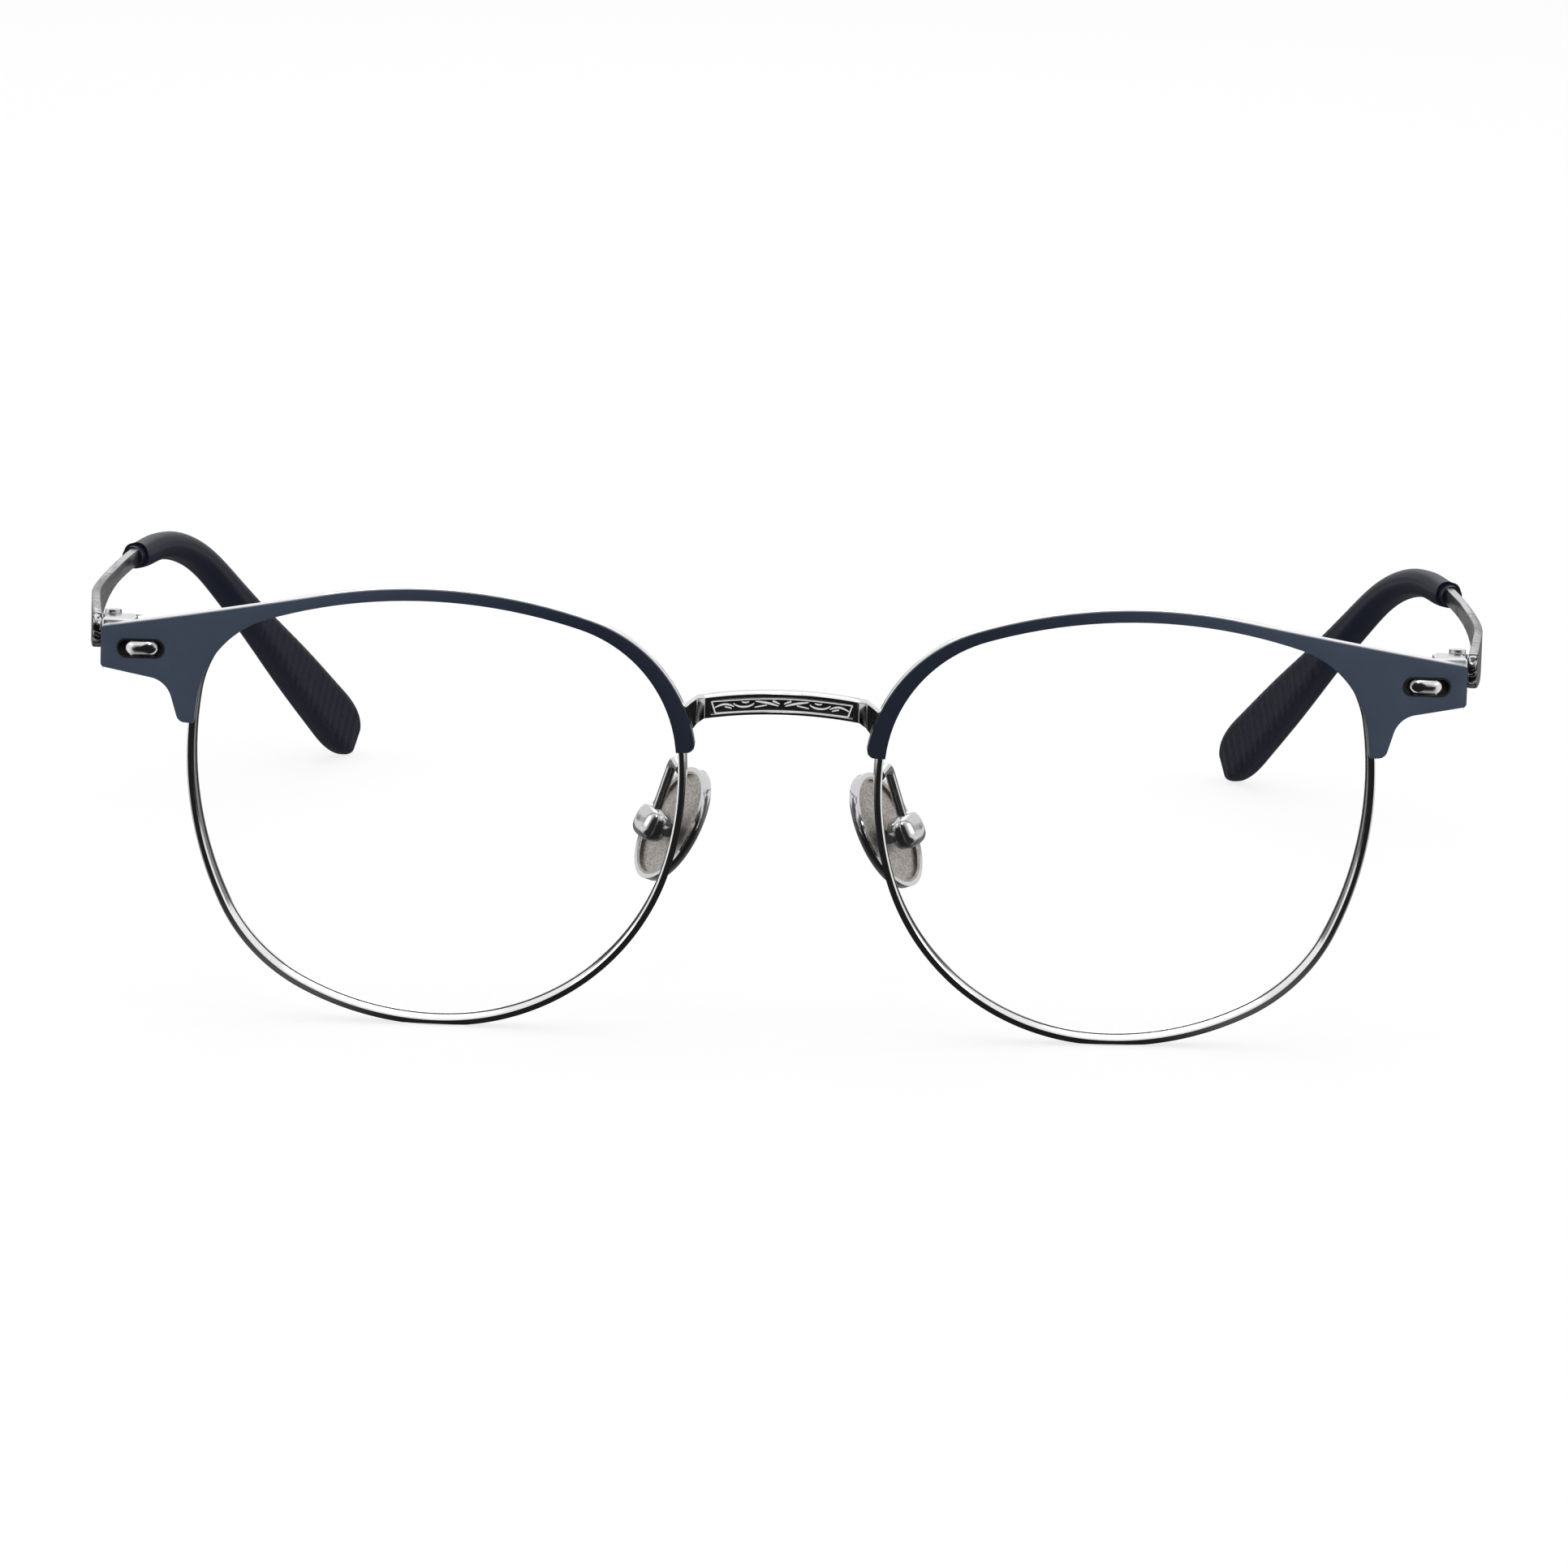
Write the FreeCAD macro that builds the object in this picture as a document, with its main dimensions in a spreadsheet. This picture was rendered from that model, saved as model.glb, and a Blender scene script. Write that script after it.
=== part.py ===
import FreeCAD, Part
import math
import os
import re

import Sketcher
from FreeCAD import Placement, Rotation, Vector

# Browline glasses: metal eyewires under navy brow plates, an arched bridge, rocking nose pads and folding
# temples with moulded tips. Millimetres, +Z up, the front faces -Y and the glasses stand on a table at Z = 0.
# The wearer's left half is modelled and the right half is its mirror image.

SIZES = {
    "Lens shape, boxed about the lens centre": {
        "lens_width": 50.1,
        "lens_height": 45.0,
        "lens_gap": 20.95,
        "top_radius": 51.3,
        "bottom_radius": 30.2,
        "temporal_radius": 38.1,
        "nasal_radius": 33.4,
        "top_temporal_radius": 10.9,
        "top_nasal_radius": 14.5,
        "bottom_nasal_radius": 24.0,
        "bottom_temporal_radius": 17.8,
        "top_point_shift": 0.67,
        "bottom_point_shift": -0.2,
        "temporal_point_rise": 5.05,
        "nasal_point_rise": 4.25,
    },
    "Front: curve, wrap and lean": {
        "base_curve": 160.0,
        "front_wrap": 3.0,
        "front_lean": 8.0,
        "dome_reach": 20.0,
    },
    "Eyewire and lens": {
        "rim_width": 0.8,
        "rim_depth": 2.2,
        "groove_depth": 0.35,
        "groove_width": 0.8,
        "lens_thickness": 1.8,
        "lens_play": 0.04,
        "braze_gap": 0.03,
    },
    "Closing block of the eyewire": {
        "lock_height": 14.2,
        "lock_half": 1.7,
        "lock_width": 2.9,
        "lock_depth": 1.5,
        "lock_slit": 0.16,
        "lock_screw_out": 1.95,
        "lock_screw_bore": 0.9,
        "lock_screw_head": 1.5,
        "lock_screw_head_height": 0.45,
    },
    "Brow plate and its metal base": {
        "brow_base_thickness": 1.0,
        "brow_plate_thickness": 0.5,
        "brow_top_width": 1.12,
        "brow_nasal_width": 1.95,
        "brow_nasal_corner": 16.1,
        "brow_nasal_end": 7.5,
        "brow_fall": 11.9,
        "brow_end_reach": 70.4,
        "brow_end_height": 4.1,
        "brow_lower_fall": 7.0,
        "brow_tail_width": 1.6,
        "brow_tail_end": 8.4,
        "brow_tail_slant": 17.0,
        "brow_tail_hollow": 2.6,
        "brow_tail_round": 0.9,
        "brow_nasal_round": 0.75,
        "brow_end_round": 0.4,
    },
    "Slot and oval stud of the brow": {
        "slot_inset": 4.27,
        "slot_height": 15.7,
        "slot_length": 5.1,
        "slot_width": 2.0,
        "slot_tilt": 3.5,
        "liner_wall": 0.16,
        "liner_stand": 0.06,
        "stud_length": 3.55,
        "stud_width": 1.42,
        "stud_pin": 0.8,
        "stud_pin_bite": 0.35,
    },
    "Bridge": {
        "bridge_top": 14.3,
        "bridge_bar_height": 2.25,
        "bridge_bar_length": 15.8,
        "bridge_arch_rise": 0.85,
        "bridge_thickness": 1.7,
        "bridge_front": 2.3,
        "bridge_plan_radius": 40.0,
        "bridge_foot_top": 10.85,
        "bridge_foot_low": 6.5,
        "bridge_foot_back_set": 0.5,
        "bridge_shoulder_run": 0.8,
        "bridge_foot_depth": 1.6,
        "panel_length": 14.6,
        "panel_top_margin": 0.45,
        "panel_low_margin": 0.35,
        "panel_recess": 0.22,
    },
    "Nose pad, its box and its arm": {
        "pad_from_middle": 10.75,
        "pad_behind": 10.4,
        "pad_rise": -2.05,
        "pad_length": 12.8,
        "pad_breadth": 7.0,
        "pad_thickness": 1.2,
        "pad_edge": 0.75,
        "pad_dish": 0.4,
        "pad_splay": 44.0,
        "pad_tilt": 26.0,
        "pad_pivot": 2.75,
        "pad_pivot_drop": 0.6,
        "pad_boss_thickness": 1.3,
        "pad_boss_radius": 0.75,
        "pad_box_length": 3.3,
        "pad_box_height": 3.0,
        "pad_box_stand": 2.1,
        "pad_box_depth": 2.7,
        "pad_box_round": 1.0,
        "pad_box_play": 0.2,
        "pad_screw_diameter": 0.7,
        "pad_screw_head": 1.1,
        "pad_screw_head_height": 0.37,
        "pad_screw_play": 0.04,
        "arm_diameter": 1.05,
        "arm_root_height": 4.7,
        "arm_reach": 3.9,
        "arm_bend": 1.3,
        "arm_knee_out": 1.3,
    },
    "End piece and hinge": {
        "hinge_from_middle": 69.8,
        "hinge_behind": 9.0,
        "hinge_height": 16.8,
        "lug_width": 3.4,
        "lug_height": 3.8,
        "lug_front": 6.0,
        "lug_to_axis": 1.3,
        "lug_corner": 0.85,
        "knuckle_diameter": 2.1,
        "knuckle_middle": 1.3,
        "knuckle_outer": 1.1,
        "knuckle_play": 0.06,
        "hinge_screw_diameter": 1.1,
        "hinge_screw_play": 0.03,
        "hinge_screw_head": 1.75,
        "hinge_screw_head_height": 0.4,
        "hinge_plate_thickness": 0.22,
        "hinge_leaf_length": 5.2,
        "hinge_leaf_thickness": 0.7,
    },
    "Temple": {
        "temple_bow": 480.0,
        "temple_bow_behind": 64.7,
        "temple_thickness": 0.95,
        "temple_clear": 0.12,
        "temple_start": 0.9,
        "leaf_height": 4.9,
        "leaf_behind": 13.0,
        "leaf_front_taper": 0.75,
        "leaf_end_round": 1.5,
        "shank_height": 1.9,
        "shank_behind": 61.0,
    },
    "Temple tip and the core inside it": {
        "tip_mouth_behind": 78.4,
        "knee_inset": 4.0,
        "knee_behind": 92.6,
        "knee_rise": 1.15,
        "knee_radius": 25.7,
        "end_inset": 21.65,
        "end_behind": 127.9,
        "end_drop": 26.9,
        "mouth_diameter": 3.0,
        "collar_diameter": 2.45,
        "collar_length": 1.3,
        "collar_gap": 0.3,
        "paddle_breadth": 6.8,
        "paddle_thickness": 3.3,
        "paddle_corner": 0.42,
        "paddle_twist": -15.0,
        "core_diameter": 1.3,
        "core_end_wall": 9.0,
        "core_play": 0.04,
    },
}

doc = FreeCAD.newDocument("browline_glasses")
sheet = doc.addObject("Spreadsheet::Sheet", "Sizes")


def fill_sheet():
    """Write every driving size to its own cell, under the heading of its group."""
    row = 1
    for heading, group in SIZES.items():
        sheet.set(f"A{row}", heading)
        row += 1
        for alias, number in group.items():
            sheet.set(f"A{row}", alias)
            sheet.set(f"B{row}", str(number))
            sheet.setAlias(f"B{row}", alias)
            row += 1
    doc.recompute()


def size(alias):
    return float(sheet.get(alias))


def bind(thing, **expressions):
    """Tie properties of a document object to expressions on the sheet."""
    for prop, expression in expressions.items():
        thing.setExpression(prop.replace("__", "."), cell(expression))
    return thing


def cell(expression):
    """Spell out an expression: every alias in it becomes a reference to its cell."""
    return re.sub("[a-z_]+", lambda word: f"Sizes.{word[0]}" if word[0] in ALIASES else word[0], expression)


def worth(expression):
    """What an expression on the sheet comes to."""
    return sheet.evalExpression(cell(expression))


ALIASES = {alias for group in SIZES.values() for alias in group}

# Planes that sketches are drawn on
FRONT_VIEW = Rotation(Vector(1, 0, 0), 90)
PLAN_VIEW = Rotation()
SIDE_VIEW = Rotation(Vector(1, 1, 1), 120)


def sketch_on(view, name, spot=Vector(0, 0, 0)):
    sketch = doc.addObject("Sketcher::SketchObject", name)
    sketch.Placement = Placement(spot, view)
    return sketch


def line(start, stop):
    return Part.LineSegment(Vector(start[0], start[1], 0), Vector(stop[0], stop[1], 0))


def arc(centre, radius, start, stop):
    circle = Part.Circle(Vector(centre[0], centre[1], 0), Vector(0, 0, 1), radius)
    return Part.ArcOfCircle(circle, start, stop)


def on_circle(centre, radius, angle):
    return centre[0] + radius * math.cos(angle), centre[1] + radius * math.sin(angle)


def bearing(start, stop):
    return math.atan2(stop[1] - start[1], stop[0] - start[0])


def circles_meet(centre_a, radius_a, centre_b, radius_b, towards):
    """The point shared by two circles that lies on the given side of their centre line."""
    gap = math.dist(centre_a, centre_b)
    along = (radius_a ** 2 - radius_b ** 2 + gap ** 2) / (2 * gap)
    across = math.sqrt(radius_a ** 2 - along ** 2)
    unit = ((centre_b[0] - centre_a[0]) / gap, (centre_b[1] - centre_a[1]) / gap)
    sign = 1 if -unit[1] * towards[0] + unit[0] * towards[1] > 0 else -1
    return (centre_a[0] + along * unit[0] - sign * across * unit[1],
            centre_a[1] + along * unit[1] + sign * across * unit[0])


def rounded_path(corners):
    """Straight runs through corners (x, y, radius), with a tangent arc at each inner corner."""
    pieces = []
    start = corners[0][:2]
    for before, corner, after in zip(corners, corners[1:], corners[2:]):
        point = corner[:2]
        radius = corner[2]
        back = bearing(point, before)
        ahead = bearing(point, after)
        half = (math.pi - abs(math.remainder(ahead - back - math.pi, 2 * math.pi))) / 2
        run = radius / math.tan(half)
        entry = on_circle(point, run, back)
        leave = on_circle(point, run, ahead)
        left_turn = math.sin(ahead - back) < 0
        side = math.pi / 2 if left_turn else -math.pi / 2
        centre = on_circle(entry, radius, back + math.pi + side)
        pieces.append(line(start, entry))
        first, last = (entry, leave) if left_turn else (leave, entry)
        pieces.append(arc(centre, radius, bearing(centre, first), bearing(centre, last)))
        start = leave
    pieces.append(line(start, corners[-1][:2]))
    return pieces


def extrude(name, sketch, forward, backward="0"):
    """Push a closed sketch along its normal, and back from its plane."""
    solid = doc.addObject("Part::Extrusion", name)
    solid.Base = sketch
    solid.DirMode = "Normal"
    solid.Solid = True
    solid.FaceMakerClass = "Part::FaceMakerBullseye"
    return bind(solid, LengthFwd=forward, LengthRev=backward)


def fuse(name, *solids):
    result = doc.addObject("Part::MultiFuse", name)
    result.Shapes = list(solids)
    return result


def common(name, *solids):
    result = doc.addObject("Part::MultiCommon", name)
    result.Shapes = list(solids)
    return result


def cut(name, base, *tools):
    result = doc.addObject("Part::Cut", name)
    result.Base = base
    result.Tool = tools[0] if len(tools) == 1 else fuse(name + "_tools", *tools)
    return result


def cylinder(name, diameter, height, place):
    solid = doc.addObject("Part::Cylinder", name)
    solid.Placement = place
    return bind(solid, Radius=f"({diameter}) / 2", Height=height)


def box(name, length, width, height, place):
    solid = doc.addObject("Part::Box", name)
    solid.Placement = place
    return bind(solid, Length=length, Width=width, Height=height)


def at(x, y, z, rotation=Rotation()):
    return Placement(Vector(x, y, z), rotation)


# Lens outline


def lens_arcs():
    """The eight tangent arcs of the lens opening, anticlockwise: name, centre, radius, start and stop angle."""
    half_width = size("lens_width") / 2
    half_height = size("lens_height") / 2
    centres = {
        "temporal": (half_width - size("temporal_radius"), size("temporal_point_rise")),
        "top": (size("top_point_shift"), half_height - size("top_radius")),
        "nasal": (size("nasal_radius") - half_width, size("nasal_point_rise")),
        "bottom": (size("bottom_point_shift"), size("bottom_radius") - half_height),
    }
    corners = {
        "top_temporal": ("temporal", "top", (1, 1)),
        "top_nasal": ("top", "nasal", (-1, 1)),
        "bottom_nasal": ("nasal", "bottom", (-1, -1)),
        "bottom_temporal": ("bottom", "temporal", (1, -1)),
    }
    for name, (before, after, towards) in corners.items():
        radius = size(f"{name}_radius")
        reach_before = size(f"{before}_radius") - radius
        reach_after = size(f"{after}_radius") - radius
        centres[name] = circles_meet(centres[before], reach_before, centres[after], reach_after, towards)
    ring = ("temporal", "top_temporal", "top", "top_nasal",
            "nasal", "bottom_nasal", "bottom", "bottom_temporal")
    joints = {}
    for name, (before, after, _) in corners.items():
        joints[before, name] = bearing(centres[before], centres[name])
        joints[name, after] = bearing(centres[after], centres[name])
    arcs = []
    for place, name in enumerate(ring):
        start = joints[ring[place - 1], name]
        stop = joints[name, ring[(place + 1) % len(ring)]]
        arcs.append((name, centres[name], size(f"{name}_radius"), start, stop))
    return arcs


def draw_lens_outline(sketch, offset, tag):
    """Draw the lens opening, grown by an offset, as tangent arcs held by named constraints."""
    first = sketch.GeometryCount
    grow = worth(offset)
    arcs = lens_arcs()
    for name, centre, radius, start, stop in arcs:
        sketch.addGeometry(arc(centre, radius + grow, start, stop), False)
    for place in range(len(arcs)):
        sketch.addConstraint(Sketcher.Constraint("Tangent", first + place, 2, first + (place + 1) % len(arcs), 1))

    def hold(constraint, name, expression):
        index = sketch.addConstraint(constraint)
        sketch.renameConstraint(index, name)
        sketch.setExpression(f"Constraints.{name}", cell(expression))

    across = {
        "temporal": ("lens_width / 2 - temporal_radius", "temporal_point_rise"),
        "top": ("top_point_shift", "lens_height / 2 - top_radius"),
        "nasal": ("nasal_radius - lens_width / 2", "nasal_point_rise"),
        "bottom": ("bottom_point_shift", "bottom_radius - lens_height / 2"),
    }
    for place, (name, centre, radius, _, _) in enumerate(arcs):
        edge = first + place
        hold(Sketcher.Constraint("Radius", edge, radius + grow), f"{name}_{tag}", f"{name}_radius + {offset}")
        if name in across:
            sideways, upward = across[name]
            hold(Sketcher.Constraint("DistanceX", -1, 1, edge, 3, centre[0]), f"{name}_{tag}_side", sideways)
            hold(Sketcher.Constraint("DistanceY", -1, 1, edge, 3, centre[1]), f"{name}_{tag}_up", upward)


# Domed front: everything on the lens follows spheres about one centre


def lens_place():
    """The lens centre in the wearing frame: beside the bridge, wrapped back and leaned forward."""
    lean = Placement(Vector(), Rotation(Vector(1, 0, 0), size("front_lean")))
    wrap = Placement(Vector(), Rotation(Vector(0, 0, 1), size("front_wrap")))
    return lean * wrap * at((size("lens_gap") + size("lens_width")) / 2, 0, 0)


def dome_centre():
    return math.sqrt(size("base_curve") ** 2 - (size("lens_height") / 2) ** 2)


def dome_depth(offset, sideways, upward):
    """How far behind the lens plane a dome lies at a point of the lens plane."""
    radius = size("base_curve") + worth(offset)
    return dome_centre() - math.sqrt(radius ** 2 - sideways ** 2 - upward ** 2)


def dome(name, offset):
    """A sphere of the front's curve, moved out by an offset: its front is the skin of a piece."""
    sphere = doc.addObject("Part::Sphere", name)
    bind(sphere, Radius=f"base_curve + {offset}")
    return bind(sphere, Placement__Base__y="sqrt(base_curve ^ 2 - (lens_height / 2) ^ 2)")


def dome_on_face(name, offset):
    """The same sphere, set where the lens sits on the face."""
    sphere = doc.addObject("Part::Sphere", name)
    sphere.Placement = lens_place() * at(0, dome_centre(), 0)
    return bind(sphere, Radius=f"base_curve + {offset}")


def domed_slab(name, sketch, front, back):
    """A sketched outline, kept between two domes."""
    prism = extrude(name + "_prism", sketch, "dome_reach", "dome_reach")
    faced = common(name + "_faced", prism, dome(name + "_front", front))
    return cut(name, faced, dome(name + "_back", back))


RIM_FRONT = "rim_depth / 2"
RIM_BACK = "0 - rim_depth / 2"
BASE_BACK = f"{RIM_FRONT} + braze_gap"
BASE_FRONT = f"{BASE_BACK} + brow_base_thickness"
PLATE_BACK = f"{BASE_FRONT} + braze_gap"
PLATE_FRONT = f"{PLATE_BACK} + brow_plate_thickness"


def make_rim():
    """Eyewire: a grooved metal ring, slit at its closing block."""
    ring = sketch_on(FRONT_VIEW, "rim_outline")
    draw_lens_outline(ring, "rim_width", "outer")
    draw_lens_outline(ring, "0", "inner")
    groove = sketch_on(FRONT_VIEW, "groove_outline")
    draw_lens_outline(groove, "groove_depth", "groove")
    slit = box("rim_slit", "lens_width", "2 * dome_reach", "lock_slit",
               at(0, -size("dome_reach"), size("lock_height") - size("lock_slit") / 2))
    return cut("rim_left", domed_slab("rim_ring", ring, RIM_FRONT, RIM_BACK),
               domed_slab("rim_groove", groove, "groove_width / 2", "0 - groove_width / 2"), slit)


def make_lens():
    """Clear lens with a tongue that sits in the eyewire's groove."""
    sight = sketch_on(FRONT_VIEW, "sight_outline")
    draw_lens_outline(sight, "0 - lens_play", "sight")
    tongue = sketch_on(FRONT_VIEW, "tongue_outline")
    draw_lens_outline(tongue, "groove_depth - lens_play", "tongue")
    half_tongue = "(groove_width / 2 - lens_play)"
    return fuse("lens_left", domed_slab("lens_body", sight, "lens_thickness / 2", "0 - lens_thickness / 2"),
                domed_slab("lens_tongue", tongue, half_tongue, f"0 - {half_tongue}"))


# Brow


def brow_end():
    """How far the brow's outer end lies from the lens centre."""
    return size("brow_end_reach") - (size("lens_gap") + size("lens_width")) / 2


def stop_at_height(arcs, height):
    """Follow arcs over the top and down the nose side, as far as a height."""
    kept = []
    for centre, radius, start, stop in arcs:
        if on_circle(centre, radius, stop)[1] < height:
            return kept + [(centre, radius, start, math.pi - math.asin((height - centre[1]) / radius))]
        kept.append((centre, radius, start, stop))
    return kept


def start_at_height(arcs, height):
    """Leave out what lies below a height on the temple side, before the arcs climb over the top."""
    for place, (centre, radius, start, stop) in enumerate(arcs):
        if on_circle(centre, radius, stop)[1] > height:
            return [(centre, radius, math.asin((height - centre[1]) / radius), stop)] + arcs[place + 1:]
    return arcs


def draw_brow(sketch):
    """Brow outline: along the lens from temple to nose, then round its outer end and back over the top."""
    ring = {name: (centre, radius, start, stop) for name, centre, radius, start, stop in lens_arcs()}
    nasal_end = size("brow_nasal_end")
    tail_end = size("brow_tail_end")
    climb = [ring[name] for name in ("temporal", "top_temporal", "top", "top_nasal", "nasal")]
    inner = stop_at_height(start_at_height(climb, tail_end), nasal_end)
    tail_in = on_circle(*inner[0][:3])
    nasal_in = on_circle(inner[-1][0], inner[-1][1], inner[-1][3])

    top_centre, top_radius = ring["top"][:2]
    over_radius = top_radius + size("brow_top_width")
    fall = math.radians(size("brow_fall"))
    leave = on_circle(top_centre, over_radius, math.pi / 2 - fall)
    end_x = brow_end()
    end_top = (end_x, leave[1] - (end_x - leave[0]) * math.tan(fall))
    end_low = (end_x, end_top[1] - size("brow_end_height"))
    tail_out = (tail_in[0] + size("brow_tail_width"), tail_end)
    lower_slope = math.tan(math.radians(size("brow_lower_fall")))
    tail_slope = math.tan(math.radians(size("brow_tail_slant")))
    rise = ((end_low[1] - tail_end - (end_x - tail_out[0]) * lower_slope)
            / (1 - tail_slope * lower_slope))
    hollow = (tail_out[0] + rise * tail_slope, tail_end + rise)
    end_round = size("brow_end_round")
    outer = rounded_path([tail_in, (*tail_out, size("brow_tail_round")), (*hollow, size("brow_tail_hollow")),
                          (*end_low, end_round), (*end_top, end_round), leave])

    nasal_centre, nasal_radius = ring["nasal"][:2]
    nose_radius = nasal_radius + size("brow_nasal_width")
    corner_radius = size("brow_nasal_corner")
    corner = circles_meet(top_centre, over_radius - corner_radius, nasal_centre, nose_radius - corner_radius,
                          (-1, 1))
    over_stop = bearing(top_centre, corner)
    nose_start = bearing(nasal_centre, corner)
    nasal_round = size("brow_nasal_round")
    round_up = nasal_end + nasal_round
    over = stop_at_height([(top_centre, over_radius, math.pi / 2 - fall, over_stop),
                           (corner, corner_radius, over_stop, nose_start),
                           (nasal_centre, nose_radius, nose_start, 1.5 * math.pi)], round_up)
    last_centre, last_radius, last_start, _ = over[-1]
    round_in = math.sqrt((last_radius - nasal_round) ** 2 - (round_up - last_centre[1]) ** 2)
    round_centre = (last_centre[0] - round_in, round_up)
    round_start = bearing(last_centre, round_centre)
    over[-1] = (last_centre, last_radius, last_start, round_start)
    over.append((round_centre, nasal_round, round_start, 1.5 * math.pi))
    end_line = line((round_centre[0], nasal_end), nasal_in)
    sketch.addGeometry([arc(*piece) for piece in inner + over] + outer + [end_line], False)


def stud_place():
    return brow_end() - size("slot_inset"), size("slot_height")


def draw_slot(sketch, length, width, tag):
    """A slanted slot with round ends, centred on the stud and held by named constraints."""
    x, z = stud_place()
    reach = f"({length} - ({width})) / 2"
    tilt = -math.radians(size("slot_tilt"))
    radius = worth(f"({width}) / 2")
    far = on_circle((x, z), worth(reach), tilt)
    near = on_circle((x, z), -worth(reach), tilt)
    up = tilt + math.pi / 2
    first = sketch.GeometryCount
    sketch.addGeometry([arc(far, radius, up - math.pi, up),
                        line(on_circle(far, radius, up), on_circle(near, radius, up)),
                        arc(near, radius, up, up + math.pi),
                        line(on_circle(near, -radius, up), on_circle(far, -radius, up))], False)
    for step in range(4):
        sketch.addConstraint(Sketcher.Constraint("Tangent", first + step, 2, first + (step + 1) % 4, 1))
    middle = "(brow_end_reach - (lens_gap + lens_width) / 2 - slot_inset)"
    along = f"{reach} * cos(slot_tilt)"
    down = f"{reach} * sin(slot_tilt)"
    holds = [
        (Sketcher.Constraint("Radius", first, radius), f"round_{tag}", f"({width}) / 2"),
        (Sketcher.Constraint("DistanceX", -1, 1, first, 3, far[0]), f"far_{tag}", f"{middle} + {along}"),
        (Sketcher.Constraint("DistanceY", -1, 1, first, 3, far[1]), f"low_{tag}", f"slot_height - {down}"),
        (Sketcher.Constraint("DistanceX", -1, 1, first + 2, 3, near[0]), f"near_{tag}", f"{middle} - {along}"),
        (Sketcher.Constraint("DistanceY", -1, 1, first + 2, 3, near[1]), f"high_{tag}", f"slot_height + {down}"),
    ]
    for constraint, name, expression in holds:
        index = sketch.addConstraint(constraint)
        sketch.renameConstraint(index, name)
        sketch.setExpression(f"Constraints.{name}", cell(expression))


def make_brow_base():
    """Metal base of the brow, brazed to the front of the eyewire and drilled for the stud's pin."""
    outline = sketch_on(FRONT_VIEW, "brow_base_outline")
    draw_brow(outline)
    x, z = stud_place()
    hole = cylinder("brow_base_hole", "stud_pin + 2 * braze_gap", "2 * dome_reach",
                    at(x, size("dome_reach"), z, FRONT_VIEW))
    return cut("brow_base_left", domed_slab("brow_base_slab", outline, BASE_FRONT, BASE_BACK), hole)


def make_brow_plate():
    """Navy plate on the base, with its slot."""
    outline = sketch_on(FRONT_VIEW, "brow_plate_outline")
    draw_brow(outline)
    slot = sketch_on(FRONT_VIEW, "brow_slot")
    draw_slot(slot, "slot_length", "slot_width", "slot")
    return cut("brow_plate_left", domed_slab("brow_plate_slab", outline, PLATE_FRONT, PLATE_BACK),
               extrude("brow_slot_prism", slot, "dome_reach", "dome_reach"))


def make_slot_liner():
    """Thin metal lip that lines the slot and stands a little proud."""
    ring = sketch_on(FRONT_VIEW, "liner_outline")
    draw_slot(ring, "slot_length - 2 * braze_gap", "slot_width - 2 * braze_gap", "outer")
    draw_slot(ring, "slot_length - 2 * (braze_gap + liner_wall)",
              "slot_width - 2 * (braze_gap + liner_wall)", "inner")
    return domed_slab("slot_liner_left", ring, f"{PLATE_FRONT} + liner_stand", PLATE_BACK)


def make_brow_stud():
    """Polished oval stud with a domed top, and the pin that holds it in the base."""
    x, z = stud_place()
    depth = dome_depth(PLATE_BACK, x, z)
    half = (size("stud_length") - size("stud_width")) / 2
    tilt = -math.radians(size("slot_tilt"))
    along = Rotation(Vector(0, 1, 0), 90 + size("slot_tilt"))
    spots = {"near": on_circle((x, z), -half, tilt), "far": on_circle((x, z), half, tilt)}
    barrel = cylinder("stud_barrel", "stud_width", "stud_length - stud_width",
                      at(spots["near"][0], depth, spots["near"][1], along))
    ends = []
    for name, (sideways, upward) in spots.items():
        ball = doc.addObject("Part::Sphere", f"stud_{name}_end")
        ball.Placement = at(sideways, depth, upward)
        ends.append(bind(ball, Radius="stud_width / 2"))
    oval = cut("stud_head", fuse("stud_oval", barrel, *ends), dome("stud_seat", PLATE_BACK))
    pin = cylinder("stud_shank", "stud_pin", "brow_base_thickness + stud_pin_bite",
                   at(x, depth + size("brow_base_thickness"), z, FRONT_VIEW))
    return fuse("brow_stud_left", oval, pin)


# Closing block


def lock_place():
    """Where the closing block starts: the outer edge of the eyewire at the block's height."""
    centre = {name: (spot, radius) for name, spot, radius, _, _ in lens_arcs()}
    spot, radius = centre["top_temporal"]
    reach = radius + size("rim_width")
    return spot[0] + math.sqrt(reach ** 2 - (size("lock_height") - spot[1]) ** 2)


def lock_axis():
    """Where the closing screw stands, half way through the depth of the block."""
    edge = lock_place()
    back = dome_depth(RIM_BACK, edge, size("lock_height"))
    return edge + size("lock_screw_out"), back - size("lock_depth") / 2


def make_lock_half(name, below):
    """One half of the closing block, shaped to the eyewire and bored for the screw."""
    edge = lock_place()
    half = size("lock_half")
    middle = size("lock_height")
    gap = size("lock_slit") / 2
    bottom = middle - gap - half if below else middle + gap
    x, depth = lock_axis()
    body = box(name + "_body", "lock_width + rim_width", "lock_depth", "lock_half",
               at(edge - size("rim_width"), depth - size("lock_depth") / 2, bottom))
    eyewire = sketch_on(FRONT_VIEW, name + "_seat_outline")
    draw_lens_outline(eyewire, "rim_width + braze_gap", "seat")
    bore = cylinder(name + "_bore", "lock_screw_bore", "3 * lock_half", at(x, depth, bottom - half))
    return cut(name, body, extrude(name + "_seat", eyewire, "dome_reach", "dome_reach"), bore)


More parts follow.
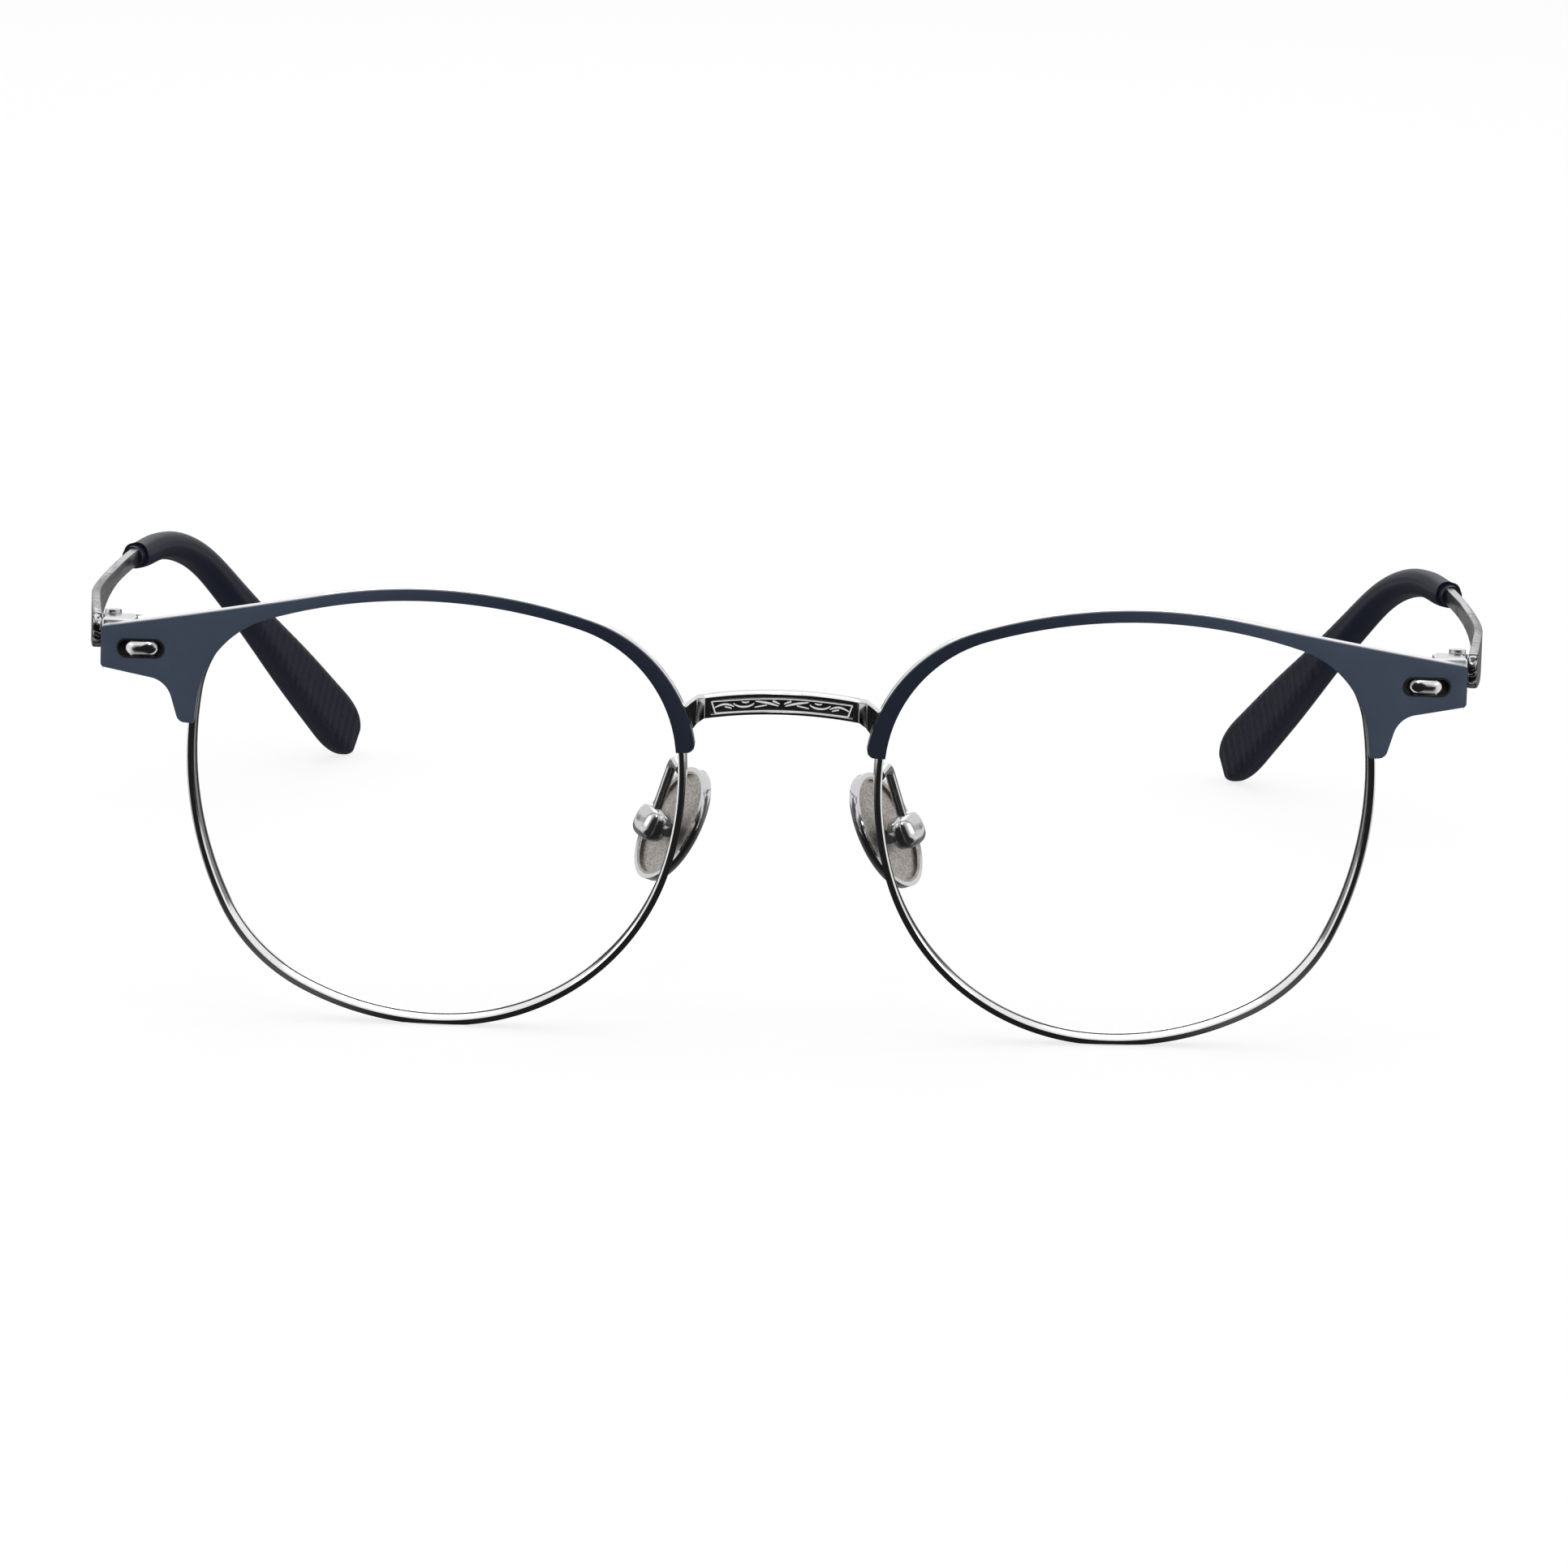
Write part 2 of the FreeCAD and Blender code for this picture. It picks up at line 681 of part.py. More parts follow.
def make_lock_screw():
    """Screw that closes the block from below."""
    x, depth = lock_axis()
    low = size("lock_height") - size("lock_slit") / 2 - size("lock_half") - size("braze_gap")
    shank = cylinder("lock_screw_shank", "lock_screw_bore - 2 * braze_gap", "2 * lock_half + lock_slit",
                     at(x, depth, low))
    head = cylinder("lock_screw_top", "lock_screw_head", "lock_screw_head_height",
                    at(x, depth, low - size("lock_screw_head_height")))
    return fuse("lock_screw_left", shank, head)


# Bridge


def draw_arch(sketch, half_length, top, low, rise, feet=None):
    """A band between two arches; with feet, each end runs out and down to the eyewires."""
    def arch(crown):
        radius = (half_length ** 2 + rise ** 2) / (2 * rise)
        return (0, crown - radius), radius, math.asin(half_length / radius)

    over_centre, over_radius, over_swing = arch(top)
    under_centre, under_radius, under_swing = arch(low)
    pieces = [arc(over_centre, over_radius, math.pi / 2 - over_swing, math.pi / 2 + over_swing),
              arc(under_centre, under_radius, math.pi / 2 - under_swing, math.pi / 2 + under_swing)]
    for side in (-1, 1):
        over = (side * half_length, top - rise)
        under = (side * half_length, low - rise)
        spots = [over] + [(side * x, z) for x, z in feet or ()] + [under]
        pieces += [line(a, b) for a, b in zip(spots, spots[1:])]
    sketch.addGeometry(pieces, False)


def make_bridge():
    """Arched bridge: a curved bar with a sunk panel, and sloped shoulders down to feet on both eyewires."""
    half = size("bridge_bar_length") / 2
    top = size("bridge_top")
    low = top - size("bridge_bar_height")
    rise = size("bridge_arch_rise")
    lean = Placement(Vector(), Rotation(Vector(1, 0, 0), size("front_lean")))
    into_rim = size("lens_gap") / 2 + size("rim_width")

    front = sketch_on(FRONT_VIEW, "bridge_front_view")
    draw_arch(front, half, top, low, rise,
              [(into_rim, size("bridge_foot_top")), (into_rim, size("bridge_foot_low"))])
    plan = sketch_on(PLAN_VIEW, "bridge_plan", Vector(0, 0, -size("dome_reach")))
    radius = size("bridge_plan_radius")
    nose = -size("bridge_front")
    thick = size("bridge_thickness")
    centre = (0, nose + radius)
    swing = math.asin(half / radius)
    back_swing = math.asin(half / (radius - thick))
    foot_front = size("bridge_foot_back_set")
    foot_back = foot_front + size("bridge_foot_depth")
    shoulder = half + size("bridge_shoulder_run")
    pieces = [arc(centre, radius, 1.5 * math.pi - swing, 1.5 * math.pi + swing),
              arc(centre, radius - thick, 1.5 * math.pi - back_swing, 1.5 * math.pi + back_swing)]
    for side in (-1, 1):
        spots = [(half, centre[1] - radius * math.cos(swing)), (shoulder, foot_front), (into_rim, foot_front),
                 (into_rim, foot_back), (shoulder, foot_back),
                 (half, centre[1] - (radius - thick) * math.cos(back_swing))]
        pieces += [line((side * a[0], a[1]), (side * b[0], b[1])) for a, b in zip(spots, spots[1:])]
    plan.addGeometry(pieces, False)

    panel = sketch_on(FRONT_VIEW, "bridge_panel")
    draw_arch(panel, size("panel_length") / 2, top - size("panel_top_margin"), low + size("panel_low_margin"),
              rise * (size("panel_length") / size("bridge_bar_length")) ** 2)
    floor = cylinder("bridge_panel_floor", "2 * (bridge_plan_radius - panel_recess)", "2 * dome_reach",
                     at(0, centre[1], -size("dome_reach")))
    recess = cut("bridge_recess", extrude("bridge_panel_prism", panel, "dome_reach", "0"), floor)
    bar = common("bridge_bar", extrude("bridge_front_prism", front, "dome_reach", "dome_reach"),
                 extrude("bridge_plan_prism", plan, "2 * dome_reach"))
    blank = cut("bridge_blank", bar, recess)
    blank.Placement = lean
    seats = []
    for side in ("left", "right"):
        outline = sketch_on(FRONT_VIEW, f"bridge_seat_{side}_outline")
        draw_lens_outline(outline, "rim_width + braze_gap", side)
        seat = extrude(f"bridge_seat_{side}", outline, "dome_reach", "dome_reach")
        seat.Placement = lens_place()
        seats.append(seat if side == "left" else mirror(seat, "bridge_seat_mirror"))
    return cut("bridge", blank, *seats)


# Nose pads


def pad_place():
    """Frame of a pad: local X from the nose outwards, local Z along the pad, origin on the nose side."""
    tilt = Rotation(Vector(0, 1, 0), -size("pad_tilt"))
    splay = Rotation(Vector(0, 0, 1), -size("pad_splay"))
    return at(size("pad_from_middle"), size("pad_behind"), size("pad_rise"), tilt * splay)


def pivot_place():
    """The pad's frame, moved down the pad to its pivot."""
    return pad_place() * at(0, 0, -size("pad_pivot_drop"))


def oval(sketch, breadth, length):
    """An ellipse of the pad, drawn on its long axis."""
    tall = Vector(0, length / 2, 0)
    wide = Vector(breadth / 2, 0, 0)
    sketch.addGeometry(Part.Ellipse(tall, wide, Vector(0, 0, 0)), False)


def make_nose_pad():
    """Metal pad: an oval plate dished on its outer side inside a raised edge, with a drilled boss."""
    plate_outline = sketch_on(SIDE_VIEW, "pad_outline")
    oval(plate_outline, size("pad_breadth"), size("pad_length"))
    plate = extrude("pad_plate", plate_outline, "pad_thickness")
    dish_outline = sketch_on(SIDE_VIEW, "pad_dish_outline", Vector(size("pad_thickness") - size("pad_dish"), 0, 0))
    oval(dish_outline, size("pad_breadth") - 2 * size("pad_edge"), size("pad_length") - 2 * size("pad_edge"))
    dish = extrude("pad_dish_cut", dish_outline, "2 * pad_dish")
    floor = size("pad_thickness") - size("pad_dish")
    radius = size("pad_boss_radius")
    half = size("pad_boss_thickness") / 2
    drop = size("pad_pivot_drop")
    across = Rotation(Vector(1, 0, 0), -90)
    web = box("pad_boss_web", "pad_pivot - pad_thickness + 2 * pad_dish", "pad_boss_thickness",
              "2 * pad_boss_radius", at(floor - size("pad_dish"), -half, -radius - drop))
    knob = cylinder("pad_boss_knob", "2 * pad_boss_radius", "pad_boss_thickness",
                    at(size("pad_pivot"), -half, -drop, across))
    hole = cylinder("pad_boss_hole", "pad_screw_diameter + 2 * pad_screw_play", "3 * pad_boss_thickness",
                    at(size("pad_pivot"), -3 * half, -drop, across))
    pad = cut("nose_pad_left", fuse("pad_blank", cut("pad_dished", plate, dish), web, knob), hole)
    pad.Placement = pad_place()
    return pad


def make_pad_box():
    """Rounded box at the end of the pad arm, slotted for the pad's boss and bored for its screw."""
    half_length = size("pad_box_length") / 2
    half_height = size("pad_box_height") / 2
    start = size("pad_box_stand")
    body = box("pad_box_body", "pad_box_depth", "pad_box_length", "pad_box_height",
               at(start, -half_length, -half_height))
    doc.recompute()
    soft = doc.addObject("Part::Fillet", "pad_box_soft")
    soft.Base = body
    radius = size("pad_box_round")
    picked = [number for number, edge in enumerate(body.Shape.Edges, 1)
              if abs(edge.CenterOfMass.x - start) > size("pad_box_play")]
    soft.Edges = [(number, radius, radius) for number in picked]
    play = size("pad_box_play")
    slot_half = size("pad_boss_thickness") / 2 + play
    slot = box("pad_box_slot", "pad_pivot + pad_boss_radius + pad_box_play", "pad_boss_thickness + 2 * pad_box_play",
               "2 * pad_box_height", at(0, -slot_half, -2 * half_height))
    across = Rotation(Vector(1, 0, 0), -90)
    bore = cylinder("pad_box_bore", "pad_screw_diameter + 2 * pad_screw_play", "2 * pad_box_length",
                    at(size("pad_pivot"), -2 * half_length, 0, across))
    result = cut("pad_box_left", soft, slot, bore)
    result.Placement = pivot_place()
    return result


def make_pad_screw():
    """Screw that the pad rocks on: its head shows on the front of the box."""
    half = size("pad_box_length") / 2
    across = Rotation(Vector(1, 0, 0), -90)
    seat = -half - size("braze_gap")
    shank = cylinder("pad_screw_shank", "pad_screw_diameter", "pad_box_length",
                     at(size("pad_pivot"), seat, 0, across))
    head = cylinder("pad_screw_top", "pad_screw_head", "pad_screw_head_height",
                    at(size("pad_pivot"), seat - size("pad_screw_head_height"), 0, across))
    screw = fuse("pad_screw_left", shank, head)
    screw.Placement = pivot_place()
    return screw


def make_pad_arm():
    """Bent wire from the back of the eyewire to the top of the pad box."""
    ring = {name: (centre, radius) for name, centre, radius, _, _ in lens_arcs()}
    centre, radius = ring["nasal"]
    height = size("arm_root_height")
    reach = radius + size("rim_width") / 2
    sideways = centre[0] - math.sqrt(reach ** 2 - (height - centre[1]) ** 2)
    behind = dome_depth(RIM_BACK, sideways, height)
    place = lens_place()
    root = place.multVec(Vector(sideways, behind - size("arm_diameter"), height))
    knee = place.multVec(Vector(sideways + size("arm_knee_out"), behind + size("arm_reach"), height))
    seat = pivot_place().multVec(Vector(size("pad_box_stand") + size("pad_box_depth") / 2, 0, 0))
    path = bent_wire("pad_arm_path", [root, knee, seat], [size("arm_bend")])
    back = dome_on_face("pad_arm_root", f"{RIM_BACK} - braze_gap")
    gap = size("braze_gap")
    block = box("pad_arm_seat", "pad_box_depth + 2 * braze_gap", "pad_box_length + 2 * braze_gap",
                "pad_box_height + 2 * braze_gap",
                pivot_place() * at(size("pad_box_stand") - gap, -size("pad_box_length") / 2 - gap,
                                   -size("pad_box_height") / 2 - gap))
    wire = common("pad_arm_wire", round_sweep("pad_arm_round", path, "arm_diameter"), back)
    return cut("pad_arm_left", wire, block)


def bent_wire(name, points, radii):
    """A path of straight runs with one tangent arc at each inner point."""
    edges = []
    start = points[0]
    for before, point, after, radius in zip(points, points[1:], points[2:], radii):
        back = (before - point).normalize()
        ahead = (after - point).normalize()
        half = back.getAngle(ahead) / 2
        run = radius / math.tan(half)
        bisector = (back + ahead).normalize()
        entry = point + back * run
        leave = point + ahead * run
        middle = point + bisector * (radius / math.sin(half) - radius)
        edges.append(Part.LineSegment(start, entry).toShape())
        edges.append(Part.Arc(entry, middle, leave).toShape())
        start = leave
    edges.append(Part.LineSegment(start, points[-1]).toShape())
    path = doc.addObject("Part::Feature", name)
    path.Shape = Part.Wire(edges)
    return path


def round_sweep(name, path, diameter):
    """A round bar along a path."""
    first = path.Shape.Edges[0]
    start = first.valueAt(first.FirstParameter)
    heading = first.tangentAt(first.FirstParameter)
    ring = doc.addObject("Part::Circle", name + "_section")
    ring.Placement = Placement(start, Rotation(Vector(0, 0, 1), heading))
    bind(ring, Radius=f"({diameter}) / 2")
    sweep = doc.addObject("Part::Sweep", name)
    sweep.Sections = [ring]
    sweep.Spine = (path, [f"Edge{number + 1}" for number in range(len(path.Shape.Edges))])
    sweep.Solid = True
    sweep.Frenet = False
    return sweep


# End piece and hinge


def hinge_point():
    return Vector(size("hinge_from_middle"), size("hinge_behind"), size("hinge_height"))


def knuckle_spans():
    """Bottom and height of the lower, middle and upper knuckle, stacked about the hinge height."""
    middle = size("knuckle_middle")
    outer = size("knuckle_outer")
    play = size("knuckle_play")
    centre = size("hinge_height")
    return ((centre - middle / 2 - play - outer, outer), (centre - middle / 2, middle),
            (centre + middle / 2 + play, outer))


def make_end_piece():
    """Lug behind the outer end of the brow base, running back to the hinge."""
    hinge = hinge_point()
    outer = size("brow_end_reach")
    inner = outer - size("lug_width")
    back = hinge.y - size("lug_to_axis")
    front = -size("lug_front")
    low = hinge.z - size("lug_height") / 2
    plan = sketch_on(PLAN_VIEW, "end_piece_plan", Vector(0, 0, low))
    corner = size("lug_corner")
    path = rounded_path([(inner, front), (outer, front, corner), (outer, back, corner), (inner, back, corner),
                         (inner, front)])
    plan.addGeometry(path, False)
    seat = dome_on_face("end_piece_seat", f"{RIM_FRONT} - braze_gap / 2")
    return common("end_piece_left", extrude("end_piece_block", plan, "lug_height"), seat)


def make_front_hinge():
    """Two outer knuckles on webs brazed to the back of the end piece."""
    hinge = hinge_point()
    radius = size("knuckle_diameter") / 2
    back = hinge.y - size("lug_to_axis") + size("braze_gap")
    solids = []
    for name, (low, _) in zip(("lower", "upper"), knuckle_spans()[::2]):
        ring = cylinder(f"front_{name}_knuckle", "knuckle_diameter", "knuckle_outer", at(hinge.x, hinge.y, low))
        web = box(f"front_{name}_web", "knuckle_diameter", "lug_to_axis - braze_gap", "knuckle_outer",
                  at(hinge.x - 2 * radius, back, low))
        solids += [ring, web]
    spans = knuckle_spans()
    bottom = spans[0][0]
    plate = box("front_hinge_plate", "knuckle_diameter", "hinge_plate_thickness",
                "knuckle_middle + 2 * (knuckle_outer + knuckle_play)", at(hinge.x - 2 * radius, back, bottom))
    bore = cylinder("front_hinge_bore", "hinge_screw_diameter + 2 * hinge_screw_play", "4 * lug_height",
                    at(hinge.x, hinge.y, hinge.z - 2 * size("lug_height")))
    clear = cylinder("front_hinge_clear", "knuckle_diameter + 4 * knuckle_play",
                     "knuckle_middle + 2 * knuckle_play",
                     at(hinge.x, hinge.y, spans[1][0] - size("knuckle_play")))
    return cut("front_hinge_left", fuse("front_hinge_blank", plate, *solids), bore, clear)


def make_hinge_screw():
    """Hinge screw: the pin that the temple turns on, with its head above the upper knuckle."""
    hinge = hinge_point()
    low = knuckle_spans()[0][0]
    stack = "knuckle_middle + 2 * (knuckle_outer + knuckle_play)"
    top = low + worth(stack) + size("braze_gap")
    pin = cylinder("hinge_screw_pin", "hinge_screw_diameter", f"{stack} + braze_gap", at(hinge.x, hinge.y, low))
    head = cylinder("hinge_screw_top", "hinge_screw_head", "hinge_screw_head_height", at(hinge.x, hinge.y, top))
    return fuse("hinge_screw_left", pin, head)


# Temple


def bow_centre():
    """Plan centre of the temple's bow: its middle line passes just outside the knuckles at the hinge."""
    hinge = hinge_point()
    inside = hinge.x + size("knuckle_diameter") / 2 + size("temple_clear") + size("temple_thickness") / 2
    behind = size("temple_bow_behind")
    return inside - math.sqrt(size("temple_bow") ** 2 - behind ** 2), hinge.y + behind


def bow_band(name, inner, outer, start, stop):
    """Plan of a strip that follows the temple's bow, from one distance behind the hinge to another."""
    centre = bow_centre()
    bow = size("temple_bow")
    hinge = hinge_point()
    low = math.asin((hinge.y + start - centre[1]) / bow)
    high = math.asin((hinge.y + stop - centre[1]) / bow)
    sketch = sketch_on(PLAN_VIEW, name, Vector(0, 0, hinge.z - size("leaf_height")))
    rings = (bow + inner, bow + outer)
    sketch.addGeometry([arc(centre, ring, low, high) for ring in rings], False)
    sketch.addGeometry([line(on_circle(centre, rings[0], end), on_circle(centre, rings[1], end))
                        for end in (low, high)], False)
    return extrude(name + "_prism", sketch, "2 * leaf_height")


def strip_end():
    """How far behind the hinge the strip stops, just short of the tip's collar."""
    return size("tip_mouth_behind") - size("collar_length") - size("collar_gap")


def draw_temple_side(sketch):
    """Side view: a rounded leaf at the hinge that swells, then draws in to a slim shank."""
    hinge = hinge_point()
    leaf = size("leaf_height") / 2
    shank = size("shank_height") / 2
    leaf_y = hinge.y + size("leaf_behind")
    shank_y = hinge.y + size("shank_behind")
    step = leaf - shank
    both_radii = ((shank_y - leaf_y) ** 2 + step ** 2) / (2 * step)
    start = hinge.y - size("temple_start")
    taper = size("leaf_front_taper")
    leaf_radius = ((leaf_y - start) ** 2 + taper ** 2) / (2 * taper)
    hollow_radius = both_radii - leaf_radius
    swell_centre = (leaf_y, hinge.z + leaf - leaf_radius)
    hollow_centre = (shank_y, hinge.z + shank + hollow_radius)
    turn = bearing(swell_centre, hollow_centre)
    stop = hinge.y + strip_end()
    end_round = size("leaf_end_round")
    round_y = start + end_round
    rise = math.sqrt((leaf_radius - end_round) ** 2 - (leaf_y - round_y) ** 2)
    round_centre = (round_y, swell_centre[1] + rise)
    entry = bearing(swell_centre, round_centre)
    upper = [(round_centre, end_round, entry, math.pi), (swell_centre, leaf_radius, turn, entry),
             (hollow_centre, hollow_radius, turn + math.pi, 1.5 * math.pi)]
    pieces = []
    for centre, radius, first, last in upper:
        pieces.append(arc(centre, radius, first, last))
        pieces.append(arc((centre[0], 2 * hinge.z - centre[1]), radius, -last, -first))
    for side in (-1, 1):
        pieces.append(line((shank_y, hinge.z + side * shank), (stop, hinge.z + side * shank)))
    pieces.append(line((stop, hinge.z - shank), (stop, hinge.z + shank)))
    pieces.append(line((start, round_centre[1]), (start, 2 * hinge.z - round_centre[1])))
    sketch.addGeometry(pieces, False)


def make_temple(core):
    """Metal temple: a bowed strip cut to the leaf's side view, with the core that carries the tip."""
    half = size("temple_thickness") / 2
    band = bow_band("temple_plan", -half, half, -size("temple_start") * 2, strip_end())
    side = sketch_on(SIDE_VIEW, "temple_side")
    draw_temple_side(side)
    strip = common("temple_strip", band, extrude("temple_side_prism", side, "2 * hinge_from_middle"))
    return fuse("temple_left", strip, core)


def make_temple_hinge():
    """Middle knuckle on a leaf brazed to the inner face of the temple."""
    hinge = hinge_point()
    low = knuckle_spans()[1][0]
    inner = -size("temple_thickness") / 2 - size("braze_gap")
    leaf = bow_band("temple_hinge_plan", inner - size("hinge_leaf_thickness"), inner,
                    size("knuckle_diameter") / 2 + size("knuckle_play"), size("hinge_leaf_length"))
    slab = box("temple_hinge_slab", "dome_reach", "2 * hinge_leaf_length",
               "knuckle_middle + knuckle_outer", at(hinge.x, hinge.y, low - size("knuckle_outer") / 2))
    plate = common("temple_hinge_plate", leaf, slab)
    ring = cylinder("temple_knuckle", "knuckle_diameter", "knuckle_middle", at(hinge.x, hinge.y, low))
    web_inner = size("knuckle_diameter") / 2 - size("hinge_leaf_thickness")
    web = bow_band("temple_web_plan", inner - size("hinge_leaf_thickness"), inner, 0, size("hinge_leaf_length"))
    web_slab = box("temple_web_slab", "dome_reach", "2 * hinge_leaf_length", "knuckle_middle",
                   at(hinge.x + web_inner - size("knuckle_play"), hinge.y, low))
    bore = cylinder("temple_hinge_bore", "hinge_screw_diameter + 2 * hinge_screw_play", "2 * lug_height",
                    at(hinge.x, hinge.y, hinge.z - size("lug_height")))
    blank = fuse("temple_hinge_blank", plate, ring, common("temple_hinge_web", web, web_slab))
    return cut("temple_hinge_left", blank, bore)


# Temple tip


def tip_points():
    """Mouth, knee and end of the tip's middle line."""
    hinge = hinge_point()
    centre = bow_centre()
    mouth_y = hinge.y + size("tip_mouth_behind")
    mouth_x = centre[0] + math.sqrt(size("temple_bow") ** 2 - (mouth_y - centre[1]) ** 2)
    mouth = Vector(mouth_x, mouth_y, hinge.z)
    knee = Vector(mouth_x - size("knee_inset"), hinge.y + size("knee_behind"), hinge.z + size("knee_rise"))
    end = Vector(mouth_x - size("end_inset"), hinge.y + size("end_behind"), hinge.z - size("end_drop"))
    return mouth, knee, end


def make_tip_path(name, ahead, shorten):
    """The tip's middle line, begun ahead of the mouth and stopped short of the end."""
    mouth, knee, end = tip_points()
    start = mouth - (knee - mouth).normalize() * ahead
    stop = end - (end - knee).normalize() * shorten
    return bent_wire(name, [start, knee, stop], [size("knee_radius")])


def tip_section(name, path, place, breadth, thickness, twist):
    """A soft-cornered section across the tip's middle line, at a share of its length."""
    length = path.Shape.Length
    edge, spot = locate(path.Shape, place * length)
    heading = edge.tangentAt(spot)
    mouth, knee, end = tip_points()
    bend_normal = (knee - mouth).cross(end - knee).normalize()
    inward = heading.cross(bend_normal).normalize()
    turn = Rotation(inward, bend_normal, heading, "ZXY") * Rotation(Vector(0, 0, 1), twist)
    section = doc.addObject("Sketcher::SketchObject", name)
    section.Placement = Placement(edge.valueAt(spot), turn)
    radius = size("paddle_corner") * min(breadth, thickness)
    x = breadth / 2
    y = thickness / 2
    section.addGeometry(rounded_path([(0, -y), (x, -y, radius), (x, y, radius), (-x, y, radius),
                                      (-x, -y, radius), (0, -y)]), False)
    return section


def locate(wire, distance):
    """The edge of a path, and the place on it, at a distance along the path."""
    for edge in wire.OrderedEdges:
        if distance <= edge.Length + 1e-6:
            return edge, edge.getParameterByLength(min(distance, edge.Length))
        distance -= edge.Length
    return edge, edge.LastParameter


# Sections of the tip: share of its length, of the swell from mouth to paddle in breadth and in thickness, and of
# the twist. The last ones draw in to round off the end.
TIP_SHAPE = (
    (0.00, 0.00, 0.0, 0.0),
    (0.08, 0.02, 0.1, 0.0),
    (0.16, 0.06, 0.2, 0.05),
    (0.24, 0.10, 0.3, 0.1),
    (0.32, 0.14, 0.5, 0.2),
    (0.40, 0.20, 0.7, 0.3),
    (0.54, 0.38, 1.0, 0.55),
    (0.72, 0.80, 1.0, 0.85),
    (0.88, 1.00, 1.0, 1.0),
    (0.96, 0.88, 0.0, 1.0),
    (1.00, 0.30, -4.0, 1.0),
)


def make_temple_tip(path, bore):
    """Moulded tip: round at its mouth, swelling to a flat twisted paddle with a rounded end."""
    mouth = size("mouth_diameter")
    broad = size("paddle_breadth")
    thick = size("paddle_thickness")
    twist = size("paddle_twist")
    loft = doc.addObject("Part::Loft", "temple_tip_body")
    loft.Sections = [tip_section(f"tip_section_{number}", path, place, mouth + (broad - mouth) * swell,
                                 mouth + (thick - mouth) * fill, twist * turn)
                     for number, (place, swell, fill, turn) in enumerate(TIP_SHAPE)]
    loft.Solid = True
    loft.Ruled = False
    first, knee, _ = tip_points()
    heading = (knee - first).normalize()
    collar = cylinder("temple_tip_collar", "collar_diameter", "2 * collar_length",
                      Placement(first - heading * size("collar_length"), Rotation(Vector(0, 0, 1), heading)))
    return cut("temple_tip_left", fuse("temple_tip_blank", loft, collar), bore)


# Assembly


def mirror(solid, name):
    """The same piece on the wearer's right."""
    twin = doc.addObject("Part::Mirroring", name)
    twin.Source = solid
    twin.Base = Vector(0, 0, 0)
    twin.Normal = Vector(1, 0, 0)
    return twin


def build_left_half():
    """Every piece of the left half, in the wearing frame."""
    on_lens = [make_rim(), make_lens(), make_brow_base(), make_brow_plate(), make_slot_liner(), make_brow_stud(),
               make_lock_half("lock_upper_left", False), make_lock_half("lock_lower_left", True),
               make_lock_screw()]
    for solid in on_lens:
        solid.Placement = lens_place()
    core_path = make_tip_path("core_path", 2 * size("collar_length"), size("core_end_wall"))
    core = round_sweep("temple_core", core_path, "core_diameter")
    bore = round_sweep("tip_bore", core_path, "core_diameter + 2 * core_play")
    others = [make_pad_arm(), make_pad_box(), make_nose_pad(), make_pad_screw(), make_end_piece(),
              make_front_hinge(), make_hinge_screw(), make_temple_hinge(), make_temple(core),
              make_temple_tip(make_tip_path("tip_path", 0, 0), bore)]
    return on_lens + others


def lowest(solid, turn):
    """The lowest point of a solid once it is turned."""
    points = solid.Shape.tessellate(0.02)[0]
    return min((turn.multVec(point) for point in points), key=lambda point: point.z)


def stand_on_table(pieces):
    """Tip the glasses back until eyewires and temple tips touch the table, and centre them over the origin."""
    by_label = {piece.Label: piece for piece in pieces}
    angle = 0.0
    for _ in range(4):
        turn = Placement(Vector(), Rotation(Vector(1, 0, 0), angle))
        front = lowest(by_label["rim_left"], turn)
        back = lowest(by_label["temple_tip_left"], turn)
        angle -= math.degrees(math.atan2(back.z - front.z, back.y - front.y))
    turn = Placement(Vector(), Rotation(Vector(1, 0, 0), angle))
    boxes = [piece.Shape.copy() for piece in pieces]
    for shape in boxes:
        shape.Placement = turn * shape.Placement
    bounds = [shape.optimalBoundingBox(False, False) for shape in boxes]
    depth = (min(b.YMin for b in bounds) + max(b.YMax for b in bounds)) / 2
    height = min(b.ZMin for b in bounds)
    stance = Placement(Vector(0, -depth, -height), Rotation()) * turn
    for piece in pieces:
        piece.Placement = stance * piece.Placement
    print(f"table pitch {angle:.3f} deg, moved by {-depth:.3f}, {-height:.3f}")


def check(things):
    """Stop if any object failed, or a piece is empty, broken or not one solid."""
    for thing in doc.Objects:
        if "Invalid" in thing.State or "Error" in thing.State:
            raise RuntimeError(f"{thing.Label} failed: {thing.State}")
    for piece in things:
        shape = piece.Shape
        if shape.isNull() or not shape.isValid() or len(shape.Solids) != 1:
            raise RuntimeError(f"{piece.Label} is not one valid solid")


def main():
    fill_sheet()
    left = build_left_half()
    bridge = make_bridge()
    doc.recompute()
    check(left + [bridge])
    stand_on_table(left + [bridge])
    right = [mirror(piece, piece.Label.replace("_left", "_right")) for piece in left]
    doc.recompute()
    check(left + right + [bridge])
    os.makedirs("parts", exist_ok=True)
    for piece in left + right + [bridge]:
        piece.Shape.exportStep(f"parts/{piece.Label}.step")


main()
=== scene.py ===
import math

import bmesh
import bpy
from bpy.props import FloatProperty, FloatVectorProperty, IntProperty, PointerProperty
from mathutils import Matrix, Vector


